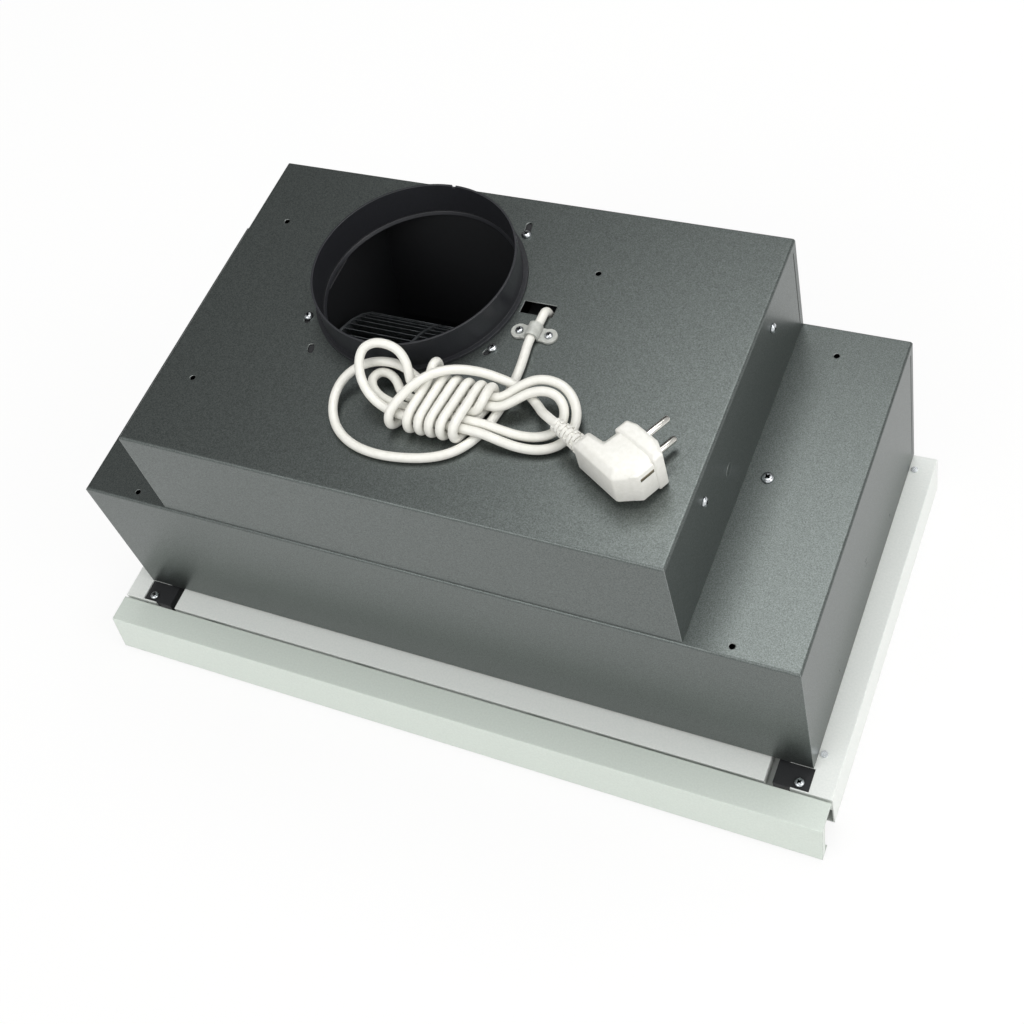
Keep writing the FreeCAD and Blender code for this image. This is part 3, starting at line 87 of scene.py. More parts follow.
def grained(
    name, colours, roughness, grain, bump, positions=(0.35, 0.65), edge=0.0006, edge_highlight=None, **sockets
):
    """Finish whose colour and height follow a fine grain. grain is its size and bump its height in
    metres, and edge the radius that softens corners. A paler edge colour, when given, is painted along
    them as a highlight. sockets are further settings of the shader, with spaces as underscores."""
    material = bpy.data.materials.new(name)
    material.use_nodes = True
    shader = material.node_tree.nodes["Principled BSDF"]
    shader.inputs["Base Color"].default_value = linear(colours[0])
    shader.inputs["Roughness"].default_value = roughness
    for socket, value in sockets.items():
        shader.inputs[socket.replace("_", " ")].default_value = value
    place = add(material, "ShaderNodeTexCoord").outputs["Object"]
    noise = add(
        material, "ShaderNodeTexNoise",
        {"Vector": place, "Scale": 1 / grain, "Detail": 2.0, "Roughness": 0.65},
    )
    ramp = add(material, "ShaderNodeValToRGB", {"Fac": noise.outputs["Fac"]})
    for element, position, colour in zip(ramp.color_ramp.elements, positions, colours):
        element.position = position
        element.color = linear(colour)
    soft = add(material, "ShaderNodeBevel", {"Radius": edge}, samples=6).outputs["Normal"]
    raised = add(
        material, "ShaderNodeBump",
        {"Height": noise.outputs["Fac"], "Strength": 0.3, "Distance": bump, "Normal": soft},
    )
    colour = ramp.outputs["Color"]
    if edge_highlight:
        # the softened normal leaves the flat one only along an edge, where the paler colour paints a
        # highlight
        flat = add(material, "ShaderNodeNewGeometry").outputs["True Normal"]
        turned = add(material, "ShaderNodeVectorMath", {0: soft, 1: flat}, operation="DOT_PRODUCT")
        rim = add(
            material, "ShaderNodeMapRange",
            {"Value": turned.outputs["Value"], "From Min": 0.98, "From Max": 0.8, "To Max": 0.7},
        )
        highlighted = add(
            material, "ShaderNodeMix", {0: rim.outputs[0], 6: colour, 7: linear(edge_highlight)},
            data_type="RGBA",
        )
        colour = highlighted.outputs[2]
    material.node_tree.links.new(colour, shader.inputs["Base Color"])
    material.node_tree.links.new(raised.outputs["Normal"], shader.inputs["Normal"])
    return material


def dress(material, *names):
    """Gives the CAD pieces their finish."""
    for name in names:
        slots = nodes[name].data.materials
        slots.clear()
        slots.append(material)


# plasticised PVC, extruded: the jacket is faintly mottled and has a soft, slightly waxy shine
cord_jacket = grained(
    "white PVC jacket", ("#e0dfd7", "#e6e5de"), 0.38, 0.006, 0.00005, Coat_Weight=0.15
)
cord_radius = 0.00325

# out of the slot, over the roof through the clamp, and round the large loop at the left
route = [
    (0.0558, 0.0653, 0.2570), (0.0558, 0.0653, 0.2736), (0.0558, 0.0500, 0.2736),
    (0.0546, 0.0400, 0.2736), (0.0548, 0.0300, 0.2736), (0.0564, 0.0200, 0.2736),
    (0.0576, 0.0080, 0.2736), (0.0580, -0.0050, 0.2736), (0.0578, -0.0170, 0.2736),
    (0.0566, -0.0290, 0.2736), (0.0540, -0.0415, 0.2736), (0.0490, -0.0540, 0.2736),
    (0.0400, -0.0654, 0.2736), (0.0260, -0.0734, 0.2736), (0.0080, -0.0778, 0.2736),
    (-0.0100, -0.0796, 0.2736), (-0.0280, -0.0774, 0.2736), (-0.0430, -0.0706, 0.2738),
    (-0.0538, -0.0600, 0.2746), (-0.0596, -0.0464, 0.2768), (-0.0588, -0.0330, 0.2802),
    (-0.0514, -0.0224, 0.2836), (-0.0400, -0.0158, 0.2858), (-0.0270, -0.0138, 0.2868),
    (-0.0150, -0.0154, 0.2856), (-0.0070, -0.0186, 0.2824), (0.0020, -0.0216, 0.2805),
    (0.0160, -0.0220, 0.2805), (0.0340, -0.0220, 0.2805), (0.0500, -0.0218, 0.2804),
]
# the outer loop at the right
route += [
    (0.0594, -0.0206, 0.2816), (0.0670, -0.0136, 0.2850), (0.0760, -0.0064, 0.2874),
    (0.0870, -0.0034, 0.2876), (0.0990, -0.0054, 0.2862), (0.1080, -0.0126, 0.2836),
    (0.1130, -0.0220, 0.2804), (0.1134, -0.0330, 0.2772), (0.1080, -0.0436, 0.2750),
    (0.0970, -0.0500, 0.2744), (0.0830, -0.0520, 0.2750), (0.0690, -0.0514, 0.2774),
    (0.0570, -0.0504, 0.2802), (0.0450, -0.0500, 0.2805), (0.0300, -0.0500, 0.2805),
    (0.0140, -0.0500, 0.2805), (-0.0020, -0.0500, 0.2805),
]
# the loop that stands up at the left
route += [
    (-0.0140, -0.0490, 0.2820), (-0.0260, -0.0456, 0.2860), (-0.0360, -0.0382, 0.2910),
    (-0.0424, -0.0280, 0.2964), (-0.0434, -0.0178, 0.3008), (-0.0374, -0.0114, 0.3020),
    (-0.0280, -0.0100, 0.3016), (-0.0190, -0.0110, 0.2990), (-0.0126, -0.0152, 0.2944),
    (-0.0086, -0.0210, 0.2904), (-0.0052, -0.0274, 0.2854), (0.0030, -0.0290, 0.2805),
    (0.0180, -0.0290, 0.2805), (0.0360, -0.0288, 0.2804), (0.0510, -0.0286, 0.2801),
]
# the inner loop at the right
route += [
    (0.0610, -0.0280, 0.2810), (0.0690, -0.0224, 0.2836), (0.0770, -0.0158, 0.2860),
    (0.0866, -0.0120, 0.2866), (0.0960, -0.0128, 0.2854), (0.1028, -0.0184, 0.2828),
    (0.1054, -0.0270, 0.2796), (0.1020, -0.0360, 0.2766), (0.0920, -0.0414, 0.2752),
    (0.0790, -0.0434, 0.2756), (0.0670, -0.0434, 0.2778), (0.0560, -0.0430, 0.2802),
    (0.0450, -0.0430, 0.2805), (0.0300, -0.0430, 0.2805), (0.0140, -0.0430, 0.2805),
    (-0.0020, -0.0430, 0.2805),
]
# the small loop at the left, then up onto the bundle
route += [
    (-0.0130, -0.0424, 0.2805), (-0.0240, -0.0396, 0.2805), (-0.0330, -0.0340, 0.2805),
    (-0.0376, -0.0264, 0.2805), (-0.0344, -0.0196, 0.2805), (-0.0268, -0.0190, 0.2805),
    (-0.0186, -0.0242, 0.2805), (-0.0120, -0.0324, 0.2805), (-0.0020, -0.0360, 0.2805),
    (0.0120, -0.0360, 0.2805), (0.0280, -0.0360, 0.2805), (0.0390, -0.0360, 0.2804),
    (0.0462, -0.0359, 0.2820), (0.0496, -0.0334, 0.2872), (0.0504, -0.0266, 0.2886),
]
# six turns round the middle: down at the back, forward underneath, up at the front and back over the
# top. The ways under and over are given by the share of the turn's step in X, then by Y and Z.
turns_back = [0.0504, 0.0426, 0.0336, 0.0248, 0.0160, 0.0072]
turns_front = [0.0384, 0.0290, 0.0206, 0.0128, 0.0044, -0.0094]
way_under = [
    (0.06, -0.0190, 0.2735), (0.28, -0.0280, 0.2734), (0.5, -0.0360, 0.2734), (0.72, -0.0440, 0.2734),
    (0.95, -0.0531, 0.27345), (1.0, -0.0572, 0.2776), (1.0, -0.0572, 0.2834),
]
way_over = [
    (0.05, -0.0531, 0.28755), (0.27, -0.0440, 0.2876), (0.5, -0.0360, 0.2876), (0.75, -0.0280, 0.2876),
]
last_turn = len(turns_back) - 1
for turn, (back, front) in enumerate(zip(turns_back, turns_front)):
    if turn < last_turn:
        route += [(back, -0.0190, 0.2876), (back, -0.01485, 0.2834), (back - 0.0001, -0.01485, 0.2776)]
    else:
        # the last turn bows up at the back
        route += [
            (0.0074, -0.0202, 0.2906), (0.0077, -0.0138, 0.2940), (0.0077, -0.0084, 0.2912),
            (0.0073, -0.0078, 0.2836), (0.0068, -0.0118, 0.2766),
        ]
    route += [(back + share * (front - back), y, z) for share, y, z in way_under]
    if turn < last_turn:
        following = turns_back[turn + 1]
        route += [(front + share * (following - front), y, z) for share, y, z in way_over]
# over the turns to the right, under the right loops, and up into the plug's strain relief
route += [
    (-0.0086, -0.0536, 0.2884), (-0.0046, -0.0450, 0.2924), (0.0010, -0.0350, 0.2950),
    (0.0080, -0.0256, 0.2960), (0.0170, -0.0174, 0.2948), (0.0280, -0.0116, 0.2918),
    (0.0400, -0.0084, 0.2880), (0.0510, -0.0072, 0.2836), (0.0610, -0.0076, 0.2804),
    (0.0690, -0.0096, 0.2790), (0.0770, -0.0142, 0.2784), (0.0850, -0.0210, 0.2806),
    (0.0922, -0.0290, 0.2868), (0.0998, -0.0343, 0.2902), (0.1060, -0.0376, 0.2902),
]

cord_line = bpy.data.curves.new("mains_cord", "CURVE")
cord_line.dimensions = "3D"
spline = cord_line.splines.new("NURBS")
spline.points.add(len(route) - 1)
for point, place in zip(spline.points, route):
    point.co = (*place, 1.0)
spline.order_u = 3
spline.use_endpoint_u = True
spline.resolution_u = 8
cord_line.bevel_depth = cord_radius
cord_line.bevel_resolution = 7
cord_line.materials.append(cord_jacket)
mains_cord = bpy.data.objects.new("mains_cord", cord_line)
bpy.context.collection.objects.link(mains_cord)
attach(mains_cord, "hood")
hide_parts("cord_hank", "cord_lead", "cord_tail")


# ---------------------------------------------------------------- plug and strain relief
# Angled earthed plug, moulded onto the cord in hard white PVC. Its front disc stands a little proud of
# the handle, an earth contact shows in a slot on its side, and the blocks of the sleeve let it bend.
# It lies on its side: its own X runs across its face, its Y out of the face and its Z upwards.
plug_heading = Vector((0.47, 0.88, 0.0)).normalized()
plug_across = Vector((plug_heading.y, -plug_heading.x, 0.0))
plug_face = Vector((0.1695, -0.0375, 0.2878))
plug_turn = Matrix((plug_across, plug_heading, (0.0, 0.0, 1.0))).transposed().to_4x4()
plug_place = Matrix.Translation(plug_face) @ plug_turn
plug_half = 0.0175


def keep(form, name, material, body, slot, *replaced):
    """Turns a bmesh into a piece that rides on a body and takes the place of CAD pieces."""
    mesh = bpy.data.meshes.new(name)
    form.to_mesh(mesh)
    form.free()
    mesh.materials.append(material)
    piece = bpy.data.objects.new(name, mesh)
    bpy.context.collection.objects.link(piece)
    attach(piece, body)
    if replaced:
        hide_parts(*replaced)
    return piece


def join(whole, part):
    """Adds a finished bmesh to another one and frees it."""
    mesh = bpy.data.meshes.new("part")
    part.to_mesh(mesh)
    part.free()
    whole.from_mesh(mesh)
    bpy.data.meshes.remove(mesh)


def moulding(whole, outline, low, high, bevels):
    """Adds an upright block of that outline to the bmesh. Each bevel has a width, its segments and
    whether it takes the top and bottom rims alone."""
    block = bmesh.new()
    base = block.faces.new([block.verts.new((x, y, low)) for x, y in outline])
    raised = bmesh.ops.extrude_face_region(block, geom=[base], use_keep_orig=True)
    bmesh.ops.translate(
        block, vec=(0.0, 0.0, high - low),
        verts=[item for item in raised["geom"] if isinstance(item, bmesh.types.BMVert)],
    )
    bmesh.ops.recalc_face_normals(block, faces=block.faces)
    sharp = math.radians(12)
    for width, segments, rims_only in bevels:
        edges = [
            edge for edge in block.edges
            if edge.calc_face_angle(0.0) > sharp
            and (not rims_only or abs(edge.verts[0].co.z - edge.verts[1].co.z) < 1e-6)
        ]
        bmesh.ops.bevel(
            block, geom=edges, offset=width, offset_type="OFFSET", affect="EDGES", segments=segments,
            profile=0.5, material=-1, clamp_overlap=True,
        )
    for face in block.faces:
        face.smooth = True
    join(whole, block)


# injection moulded from a polished tool: nearly even in colour, with a clean satin shine
plug_white = grained("hard white PVC", ("#e2e1da", "#e8e7e1"), 0.36, 0.003, 0.00004, edge=0.0003)
plug = bmesh.new()
# outlines seen from above: the handle back to the sleeve, the disc in front of it, and a grip
handle = [
    (-0.0155, -0.006), (0.0095, -0.006), (0.0195, -0.0075), (0.0195, -0.0258), (0.0083, -0.038),
    (-0.0298, -0.037), (-0.0298, -0.023), (-0.0165, -0.0215),
]
disc = [
    (-0.016, -0.0025), (-0.0085, 0.0), (0.010, 0.0), (0.020, -0.005), (0.020, -0.0125),
    (-0.0162, -0.0125),
]
grip = [(0.0155, -0.0125), (0.0198, -0.0125), (0.0198, -0.0255), (0.0155, -0.0302)]
moulding(plug, handle, -plug_half, plug_half - 0.0016, [(0.0045, 1, True), (0.0012, 3, False)])
moulding(plug, disc, -plug_half, plug_half, [(0.0022, 1, True), (0.0008, 3, False)])
moulding(plug, grip, -plug_half + 0.004, plug_half - 0.0045, [(0.0009, 3, False)])
bmesh.ops.transform(plug, matrix=plug_place, verts=plug.verts)
plug_piece = keep(plug, "plug_moulding", plug_white, "hood", "cord_white", "plug_body")

# stamped brass strip, dull and a little tarnished beside the bright pins
contact_brass = grained("nickelled brass", ("#7d7563", "#8d8572"), 0.35, 0.002, 0.00002, Metallic=1.0)
contact = bmesh.new()
moulding(
    contact, [(0.0190, -0.0135), (0.02005, -0.0135), (0.02005, -0.0245), (0.0190, -0.0245)],
    0.0058, 0.0088, [(0.0003, 2, False)],
)
bmesh.ops.transform(contact, matrix=plug_place, verts=contact.verts)
contact_piece = keep(contact, "earth_contacts", contact_brass, "hood", "pin_nickel")

# sleeve: a tapering core with rings of four raised blocks, each ring turned by half a block's share
relief_start = Vector((-0.0560, -0.0300, 0.0024))
relief_length = 0.0262
block_rings = 8
block_angle = 62
block_root = 0.0035
sleeve = bmesh.new()
bmesh.ops.create_cone(
    sleeve, cap_ends=True, segments=24, radius1=0.0042, radius2=0.0053, depth=relief_length,
    matrix=Matrix.Translation((0.0, 0.0, relief_length / 2)),
)
for ring in range(block_rings):
    reach = 0.0050 + 0.00022 * ring
    low, high = [relief_length * (ring + share) / block_rings for share in (0.1, 0.82)]
    corners = [(block_root, 0, low), (reach, 0, low), (reach, 0, high), (block_root, 0, high)]
    for quarter in range(4):
        arc = bmesh.new()
        wall = arc.faces.new([arc.verts.new(corner) for corner in corners])
        bmesh.ops.spin(
            arc, geom=[wall, *wall.edges, *wall.verts], cent=(0, 0, 0), axis=(0, 0, 1),
            angle=math.radians(block_angle), steps=6, use_duplicate=False,
        )
        start = 90 * quarter + 45 * (ring % 2) - block_angle / 2
        bmesh.ops.transform(arc, matrix=Matrix.Rotation(math.radians(start), 4, "Z"), verts=arc.verts)
        bmesh.ops.recalc_face_normals(arc, faces=arc.faces)
        join(sleeve, arc)
lay_along = Matrix.Translation(relief_start) @ Matrix.Rotation(math.radians(90), 4, "Y")
bmesh.ops.transform(sleeve, matrix=plug_place @ lay_along, verts=sleeve.verts)
sleeve_piece = keep(sleeve, "relief_sleeve", plug_white, "hood", "cord_white", "plug_relief")

# turned brass pins with domed tips; their nickel plating is a bright, slightly warm mirror
pin_plating = grained("nickel plate", ("#c8c6c0", "#d8d6d0"), 0.16, 0.002, 0.00002, Metallic=1.0)
pin_spacing = 0.019
pin_shift = 0.0015
pins = bmesh.new()
for hand in (-1, 1):
    pin = bmesh.new()
    profile = [(0.0, 0.0190), (0.0011, 0.0189), (0.0019, 0.0184), (0.0024, 0.0174), (0.0024, 0.0)]
    line = [pin.verts.new((radius, 0.0, reach)) for radius, reach in profile]
    for first, second in zip(line, line[1:]):
        pin.edges.new((first, second))
    bmesh.ops.spin(
        pin, geom=pin.verts[:] + pin.edges[:], cent=(0, 0, 0), axis=(0, 0, 1), angle=math.tau,
        steps=24, use_merge=True, use_duplicate=False,
    )
    bmesh.ops.remove_doubles(pin, verts=pin.verts, dist=1e-5)
    bmesh.ops.recalc_face_normals(pin, faces=pin.faces)
    seat = Matrix.Translation((pin_shift * hand, 0.0, -pin_spacing / 2 * hand))
    outward = Matrix.Rotation(math.radians(-90), 4, "X")
    bmesh.ops.transform(pin, matrix=plug_place @ seat @ outward, verts=pin.verts)
    for face in pin.faces:
        face.smooth = True
    join(pins, pin)
pins_piece = keep(pins, "contact_pins", pin_plating, "hood", "pin_nickel", "plug_pins")


# ---------------------------------------------------------------- housing
# Body and motor box are folded from steel sheet and powder coated in graphite grey. The coat carries
# aluminium flake that glints and spreads the highlights; its 0.1 mm flakes are drawn 0.8 mm wide, so
# that they show. Bends and edges get a paler colour as a painted highlight.
graphite = grained(
    "graphite powder coat", ("#545957", "#747a78"), 0.36, 0.0008, 0.00005, (0.32, 0.68), edge=0.0009,
    edge_highlight="#b9bcba", Metallic=0.92,
)
dress(graphite, "body_shell", "tower_shell", "body_back_panel", "tower_back_panel")

# painted shade: dark strips laid over the open joints where the back panels' returns meet the side
# sheets, which are too narrow for light to reach in
joint_painted_shade = grained("painted joint shade", ("#08090a", "#0d0e0f"), 0.8, 0.002, 0.00002, edge=0.0001)
joint_width = 0.0008
joint_depth = 0.0001
joint_inset = 0.0062
joint_end = 0.008
joints = bmesh.new()
for node in ("tower_shell", "body_shell"):
    low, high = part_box(node)
    size = (joint_depth, joint_width, high[2] - low[2] - 2 * joint_end)
    for wall, out in ((low[0], -1), (high[0], 1)):
        box = bmesh.ops.create_cube(joints, size=1.0)["verts"]
        bmesh.ops.scale(joints, vec=size, verts=box)
        middle = (wall + out * joint_depth / 5, high[1] - joint_inset, (low[2] + high[2]) / 2)
        bmesh.ops.translate(joints, vec=middle, verts=box)
keep(joints, "panel_joint_shade", joint_painted_shade, "hood", "body_paint")

# shallow round dimple of the press in the motor box's right side, beside the lower screw
dimple_radius = 0.0052
dimple_rise = 0.16
dimple_place = (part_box("tower_shell")[1][0], -0.001, 0.221)
dimple = bmesh.new()
bmesh.ops.create_uvsphere(dimple, u_segments=24, v_segments=12, radius=dimple_radius)
bmesh.ops.bisect_plane(
    dimple, geom=dimple.verts[:] + dimple.edges[:] + dimple.faces[:], plane_co=(0, 0, 0),
    plane_no=(1, 0, 0), clear_inner=True,
)
bmesh.ops.scale(dimple, vec=(dimple_rise, 1.0, 1.0), verts=dimple.verts)
bmesh.ops.translate(dimple, vec=dimple_place, verts=dimple.verts)
for face in dimple.faces:
    face.smooth = True
keep(dimple, "side_dimple", graphite, "hood", "body_paint")


# ---------------------------------------------------------------- galvanised sheet inside
# Braces, centre bar and motor bracket are folded from hot-dip galvanised sheet and sit inside the
# housing. The coat is a dull grey with faint spangles about a centimetre across.
zinc_coat = grained(
    "galvanised steel", ("#8f9396", "#a9adb0"), 0.45, 0.012, 0.00005, (0.4, 0.6), Metallic=0.9
)
dress(zinc_coat, "centre_bar", "motor_bracket", "tower_braces")

# the scroll is moulded in black polypropylene, so that hardly any light comes back up the collar
blower_plastic = grained("black polypropylene", ("#17181a", "#1e1f21"), 0.5, 0.0008, 0.00005)
dress(blower_plastic, "blower_scroll")


# ---------------------------------------------------------------- screws and rivets
# Zinc-plated steel pan heads with a cross recess, bright with a slight blue cast, and a rivet's
# turned-over head at each corner of the frame. A screw's head is as wide as its CAD solid.
bright_zinc = grained(
    "bright zinc plate", ("#b9bdc0", "#d4d8da"), 0.24, 0.0009, 0.00004, edge=0.0002, Metallic=1.0
)
dress(bright_zinc, "frame_rivets", "strip_screws")


def loose_parts(name):
    """Lowest and highest corner of each separate solid of a CAD piece, from left to right and then
    from front to back."""
    copy = bmesh.new()
    copy.from_mesh(nodes[name].data)
    bmesh.ops.remove_doubles(copy, verts=copy.verts, dist=1e-6)
    left, corners = set(copy.verts), []
    while left:
        reached = [left.pop()]
        for vert in reached:
            beside = [edge.other_vert(vert) for edge in vert.link_edges]
            reached += [other for other in beside if other in left]
            left.difference_update(beside)
        corners.append(tuple(
            Vector(pick(vert.co[axis] for vert in reached) for axis in range(3)) for pick in (min, max)
        ))
    copy.free()
    return sorted(corners, key=lambda pair: pair[0][:])


def cross_head(radius, height, shank, length, turn):
    """Pan head screw standing on z = 0 with its shank below, turned about its axis in degrees."""
    head = bmesh.new()
    # radius and height of each ring: shank, flat underside, low side, domed top
    levels = [
        (shank, -length), (shank, 0.0), (radius, 0.0), (radius, 0.3 * height),
        (0.9 * radius, 0.66 * height), (0.7 * radius, 0.9 * height), (0.5 * radius, height),
    ]
    rings = []
    for number, (reach, level) in enumerate(levels):
        made = bmesh.ops.create_circle(
            head, cap_ends=number == 0, segments=24, radius=reach,
            matrix=Matrix.Translation((0, 0, level)),
        )
        rings.append({edge for vert in made["verts"] for edge in vert.link_edges})
    for low, high in zip(rings, rings[1:]):
        bmesh.ops.bridge_loops(head, edges=list(low | high))
    arm, tip = 0.13 * radius, 0.46 * radius
    narrowing, floor_level = 0.55, 0.35 * height
    cross = []
    for quarter in range(4):
        swing = Matrix.Rotation(math.radians(90 * quarter), 3, "Z")
        for x, y in ((tip, -arm), (tip, arm), (arm, arm)):
            cross.append(head.verts.new(swing @ Vector((x, y, height))))
    recess = head.faces.new(cross)
    bmesh.ops.bridge_loops(head, edges=list(rings[-1] | set(recess.edges)))
    for face in head.faces:
        face.smooth = face is not recess and face.calc_center_median().z > 0.0
    sunk = bmesh.ops.extrude_discrete_faces(head, faces=[recess])["faces"][0]
    for vert in sunk.verts:
        vert.co = Vector((vert.co.x * narrowing, vert.co.y * narrowing, floor_level))
    for face in sunk.verts[0].link_faces:
        face.smooth = False
    bmesh.ops.rotate(head, verts=head.verts, matrix=Matrix.Rotation(math.radians(turn), 3, "Z"))
    return head


def screws(name, piece_name, axis, height, shank, length):
    """Cross-head screws in the place of a CAD piece's solids. Each faces along axis, and along X away
    from the middle. No two have their cross turned alike."""
    made = bmesh.new()
    for number, (low, high) in enumerate(loose_parts(name)):
        middle = (low + high) / 2
        facing = Vector(axis)
        if axis[0]:
            facing.x = math.copysign(1.0, middle.x) * axis[0]
        along = max(range(3), key=lambda part: abs(facing[part]))
        across = [part for part in range(3) if part != along]
        radius = max(high[part] - low[part] for part in across) / 2
        middle[along] = high[along] if facing[along] > 0 else low[along]
        foot = middle - facing * height
        head = cross_head(radius, height, shank, length, 12.0 + 37.0 * number)
        turn = Vector((0, 0, 1)).rotation_difference(facing).to_matrix().to_4x4()
        bmesh.ops.transform(head, matrix=Matrix.Translation(foot) @ turn, verts=head.verts)
        join(made, head)
    bmesh.ops.recalc_face_normals(made, faces=made.faces)
    keep(made, piece_name, bright_zinc, "hood", "screw_zinc", name)


# head height, shank radius and shown length of the shank
screws("body_screws", "body_pan_screws", (0, 0, 1), 0.0024, 0.0019, 0.004)
screws("clamp_screws", "clamp_pan_screws", (0, 0, 1), 0.0024, 0.0016, 0.004)
screws("collar_screws", "collar_pan_screws", (0, 0, 1), 0.0024, 0.0019, 0.004)
screws("guide_screws", "guide_pan_screws", (0, 0, 1), 0.002, 0.0016, 0.003)
screws("tower_side_screws", "side_pan_screws", (1, 0, 0), 0.0024, 0.0019, 0.004)


# ---------------------------------------------------------------- duct collar
# The ring that the duct slides over, moulded in black polypropylene and held to the roof by three
# screws through its foot. Its satin skin spreads the studio's light to a low, even sheen.
collar_plastic = grained("satin black polypropylene", ("#232427", "#2b2c30"), 0.36, 0.0009, 0.00005)
dress(collar_plastic, "duct_collar")


# ---------------------------------------------------------------- motor and fan
# A capacitor motor drives the double-inlet wheel, whose blades are pressed from galvanised sheet and
# crimped into two end rings. The motor's can is painted, with a little of the steel's shine, the
# wheel has the dull glint of thin zinc, and the capacitor sits in a plain white can.
motor_paint = grained("painted motor steel", ("#2a2b2c", "#333435"), 0.5, 0.001, 0.00004, Metallic=0.5)
dress(motor_paint, "fan_motor")
wheel_zinc = grained(
    "wheel of galvanised sheet", ("#6e7275", "#868a8d"), 0.4, 0.006, 0.00004, Metallic=0.9
)
dress(wheel_zinc, "fan_wheel")
capacitor_can = grained("white capacitor can", ("#d8d8d2", "#e2e2dc"), 0.45, 0.003, 0.00003)
dress(capacitor_can, "run_capacitor")


# ---------------------------------------------------------------- black plastic
# Latch, guides, strip spacers and terminal box are moulded in black ABS and screwed or clipped to the
# sheet parts. The tool's fine texture takes off the shine and leaves a soft black.
black_plastic = grained("textured black ABS", ("#1b1c1e", "#242527"), 0.5, 0.0007, 0.00006)
dress(
    black_plastic, "filter_latch", "guide_rail_left", "guide_rail_right", "strip_spacers",
    "terminal_box",
)


# ---------------------------------------------------------------- cord clamp
# A saddle of natural nylon over the cord, held down by two screws. Bare nylon is milky and lets a
# little light through.
clamp_nylon = grained(
    "natural nylon", ("#c9cbc4", "#dcded8"), 0.35, 0.004, 0.00003, Transmission_Weight=0.35
)
dress(clamp_nylon, "cord_clamp")


# ---------------------------------------------------------------- white sheet parts
# Frame, lamp panel and drawer tray are folded from steel sheet and powder coated white, which leaves
# a slight orange peel. The front strip is screwed on and has a smoother, faintly green enamel.
# Switch box and buttons are moulded in ABS, and a strip of foam is glued along the frame.
white_enamel = grained("white powder coat", ("#e3e7e3", "#e9ece8"), 0.36, 0.0016, 0.0001, edge=0.0008)
dress(white_enamel, "drawer_tray", "lamp_panel", "underframe")
strip_enamel = grained(
    "satin white front enamel", ("#cdd5cd", "#d3dbd3"), 0.32, 0.0016, 0.00008, edge=0.001
)
dress(strip_enamel, "front_strip")
# moulded white ABS: even, with a soft satin shine
white_plastic = grained("white ABS", ("#dcdedb", "#e6e8e5"), 0.35, 0.001, 0.00004)
dress(
    white_plastic, "button_high", "button_light", "button_low", "button_middle", "button_off",
    "switch_box",
)
# open-celled foam: matt black with a coarse, broken surface. Its black also stands in as painted
# shade for the gap between body and frame that the strip fills
seal_foam_and_gap_shade = grained("black foam strip and gap shade", ("#141414", "#262626"), 0.95, 0.0006, 0.0003)
dress(seal_foam_and_gap_shade, "frame_seal")


# ---------------------------------------------------------------- filters and lamps
# The grease filters are layers of expanded aluminium mesh in frames of rolled aluminium, and the
# lamps sit in aluminium housings behind frosted glass. The mesh glints in coarse specks, the frames
# shine evenly, and the lenses are a pale, clouded white.
mesh_aluminium = grained(
    "expanded aluminium", ("#8d8f8e", "#b9bbb9"), 0.4, 0.003, 0.0004, Metallic=0.9
)
dress(mesh_aluminium, "drawer_filter_mesh", "filter_mesh_left", "filter_mesh_right")
rolled_aluminium = grained(
    "rolled aluminium", ("#b4b6b6", "#c4c6c6"), 0.35, 0.004, 0.00003, Metallic=1.0
)
dress(
    rolled_aluminium, "drawer_filter_frame", "filter_frame_left", "filter_frame_right",
    "lamp_housings",
)
lamp_glass = grained(
    "lamp glass", ("#dfe3e2", "#eaeeed"), 0.25, 0.004, 0.00004, Transmission_Weight=0.4
)
dress(lamp_glass, "lamp_lenses")


# ---------------------------------------------------------------- floor and light
# A pale seamless floor and plain soft light. To the camera, in reflections and through glass the
# floor reads as the white backdrop, and it keeps a soft shadow of the hood.
def backdrop(name, share):
    """White surface whose own shading the camera and reflections see only in part: share is how far
    it is seen as plain white."""
    material = bpy.data.materials.new(name)
    material.use_nodes = True
    tree = material.node_tree
    shader = tree.nodes["Principled BSDF"]
    shader.inputs["Base Color"].default_value = linear("#f4f4f2")
    shader.inputs["Roughness"].default_value = 0.9
    ray = add(material, "ShaderNodeLightPath")
    seen = ray.outputs["Is Camera Ray"]
    for kind in ("Is Glossy Ray", "Is Transmission Ray"):
        either = add(material, "ShaderNodeMath", {0: seen, 1: ray.outputs[kind]}, operation="MAXIMUM")
        seen = either.outputs[0]
    white = add(material, "ShaderNodeEmission", {"Color": linear("#ffffff"), "Strength": 1.0})
    part = add(material, "ShaderNodeMath", {0: seen, 1: share}, operation="MULTIPLY")
    mixed = add(
        material, "ShaderNodeMixShader",
        {0: part.outputs[0], 1: shader.outputs[0], 2: white.outputs[0]},
    )
    tree.links.new(mixed.outputs[0], tree.nodes["Material Output"].inputs["Surface"])
    return material


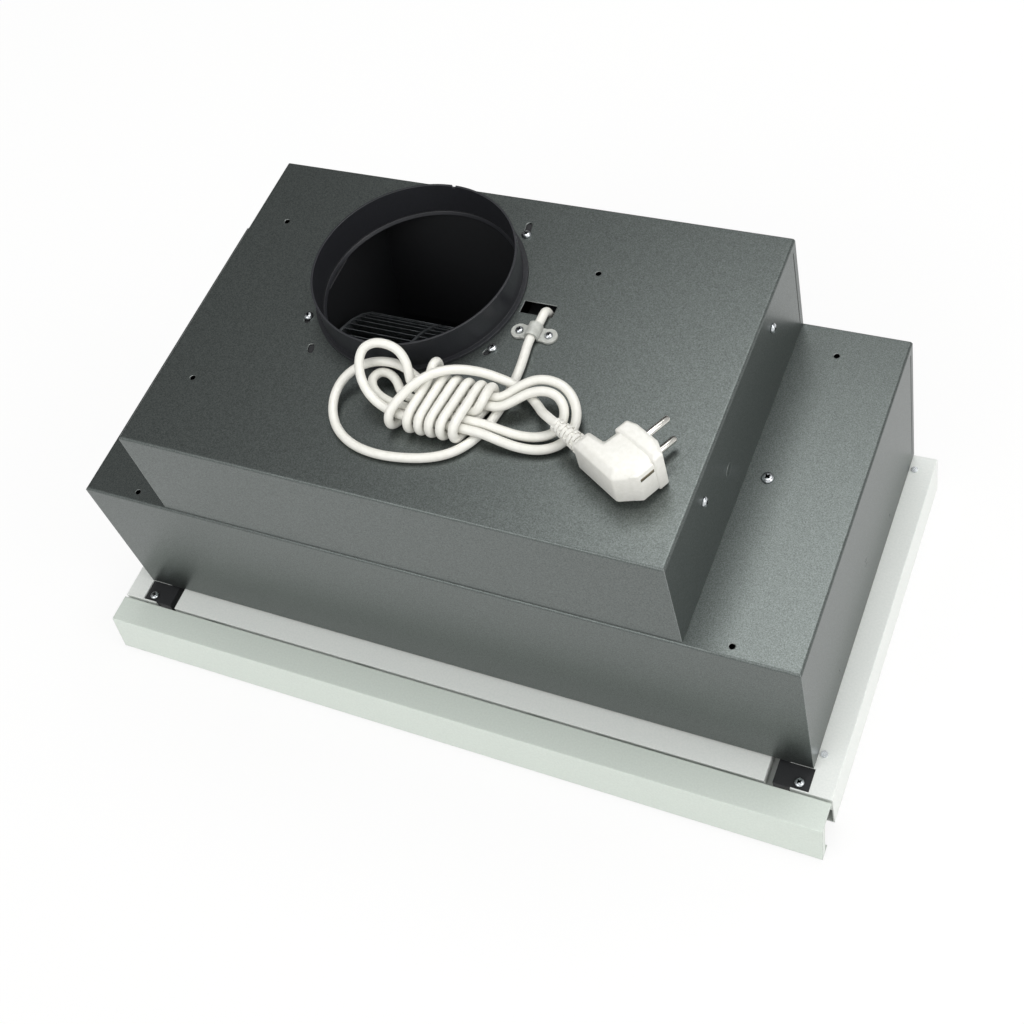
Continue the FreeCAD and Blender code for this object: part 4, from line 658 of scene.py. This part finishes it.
# wide enough that its edge is lost in the backdrop from any side
floor_reach = 40.0
floor_mesh = bpy.data.meshes.new("floor")
ground = bmesh.new()
bmesh.ops.create_grid(ground, x_segments=1, y_segments=1, size=floor_reach)
ground.to_mesh(floor_mesh)
ground.free()
floor = bpy.data.objects.new("floor", floor_mesh)
floor_mesh.materials.append(backdrop("pale floor", 0.85))
bpy.context.collection.objects.link(floor)

world = bpy.data.worlds.new("studio")
bpy.context.scene.world = world
world.use_nodes = True
sky = world.node_tree.nodes["Background"]
# the studio is brighter at the front right, where its white wall stands, than behind on the left
white_wall = (0.55, -0.6, 0.35)
dimmest, brightest = 0.07, 0.95
way = add(world, "ShaderNodeTexCoord").outputs["Generated"]
side = add(world, "ShaderNodeVectorMath", {0: way, 1: white_wall}, operation="DOT_PRODUCT")
wall = add(
    world, "ShaderNodeMapRange",
    {"Value": side.outputs["Value"], "From Min": -0.5, "From Max": 0.7, "To Min": dimmest,
     "To Max": brightest},
)
ray = add(world, "ShaderNodeLightPath")
level = add(world, "ShaderNodeMix", {0: ray.outputs["Is Camera Ray"], 2: wall.outputs[0], 3: 1.0})
sky.inputs["Color"].default_value = linear("#ffffff")
world.node_tree.links.new(level.outputs[0], sky.inputs["Strength"])


def softbox(name, place, aim, size, power):
    """Rectangular area light at a place, aimed at a point, with its power in watts."""
    lamp = bpy.data.lights.new(name, "AREA")
    lamp.shape = "RECTANGLE"
    lamp.size, lamp.size_y = size
    lamp.energy = power
    box = bpy.data.objects.new(name, lamp)
    box.location = place
    box.rotation_euler = (Vector(aim) - Vector(place)).to_track_quat("-Z", "Y").to_euler()
    bpy.context.collection.objects.link(box)


softbox("front softbox", (-0.7, -2.0, 2.1), (0.0, -0.1, 0.1), (1.6, 1.2), 16.0)
softbox("right softbox", (2.2, -0.2, 1.7), (0.1, 0.0, 0.2), (1.2, 1.2), 14.0)
softbox("top softbox", (0.15, 0.75, 2.4), (0.1, 0.2, 0.2), (1.5, 1.5), 24.0)
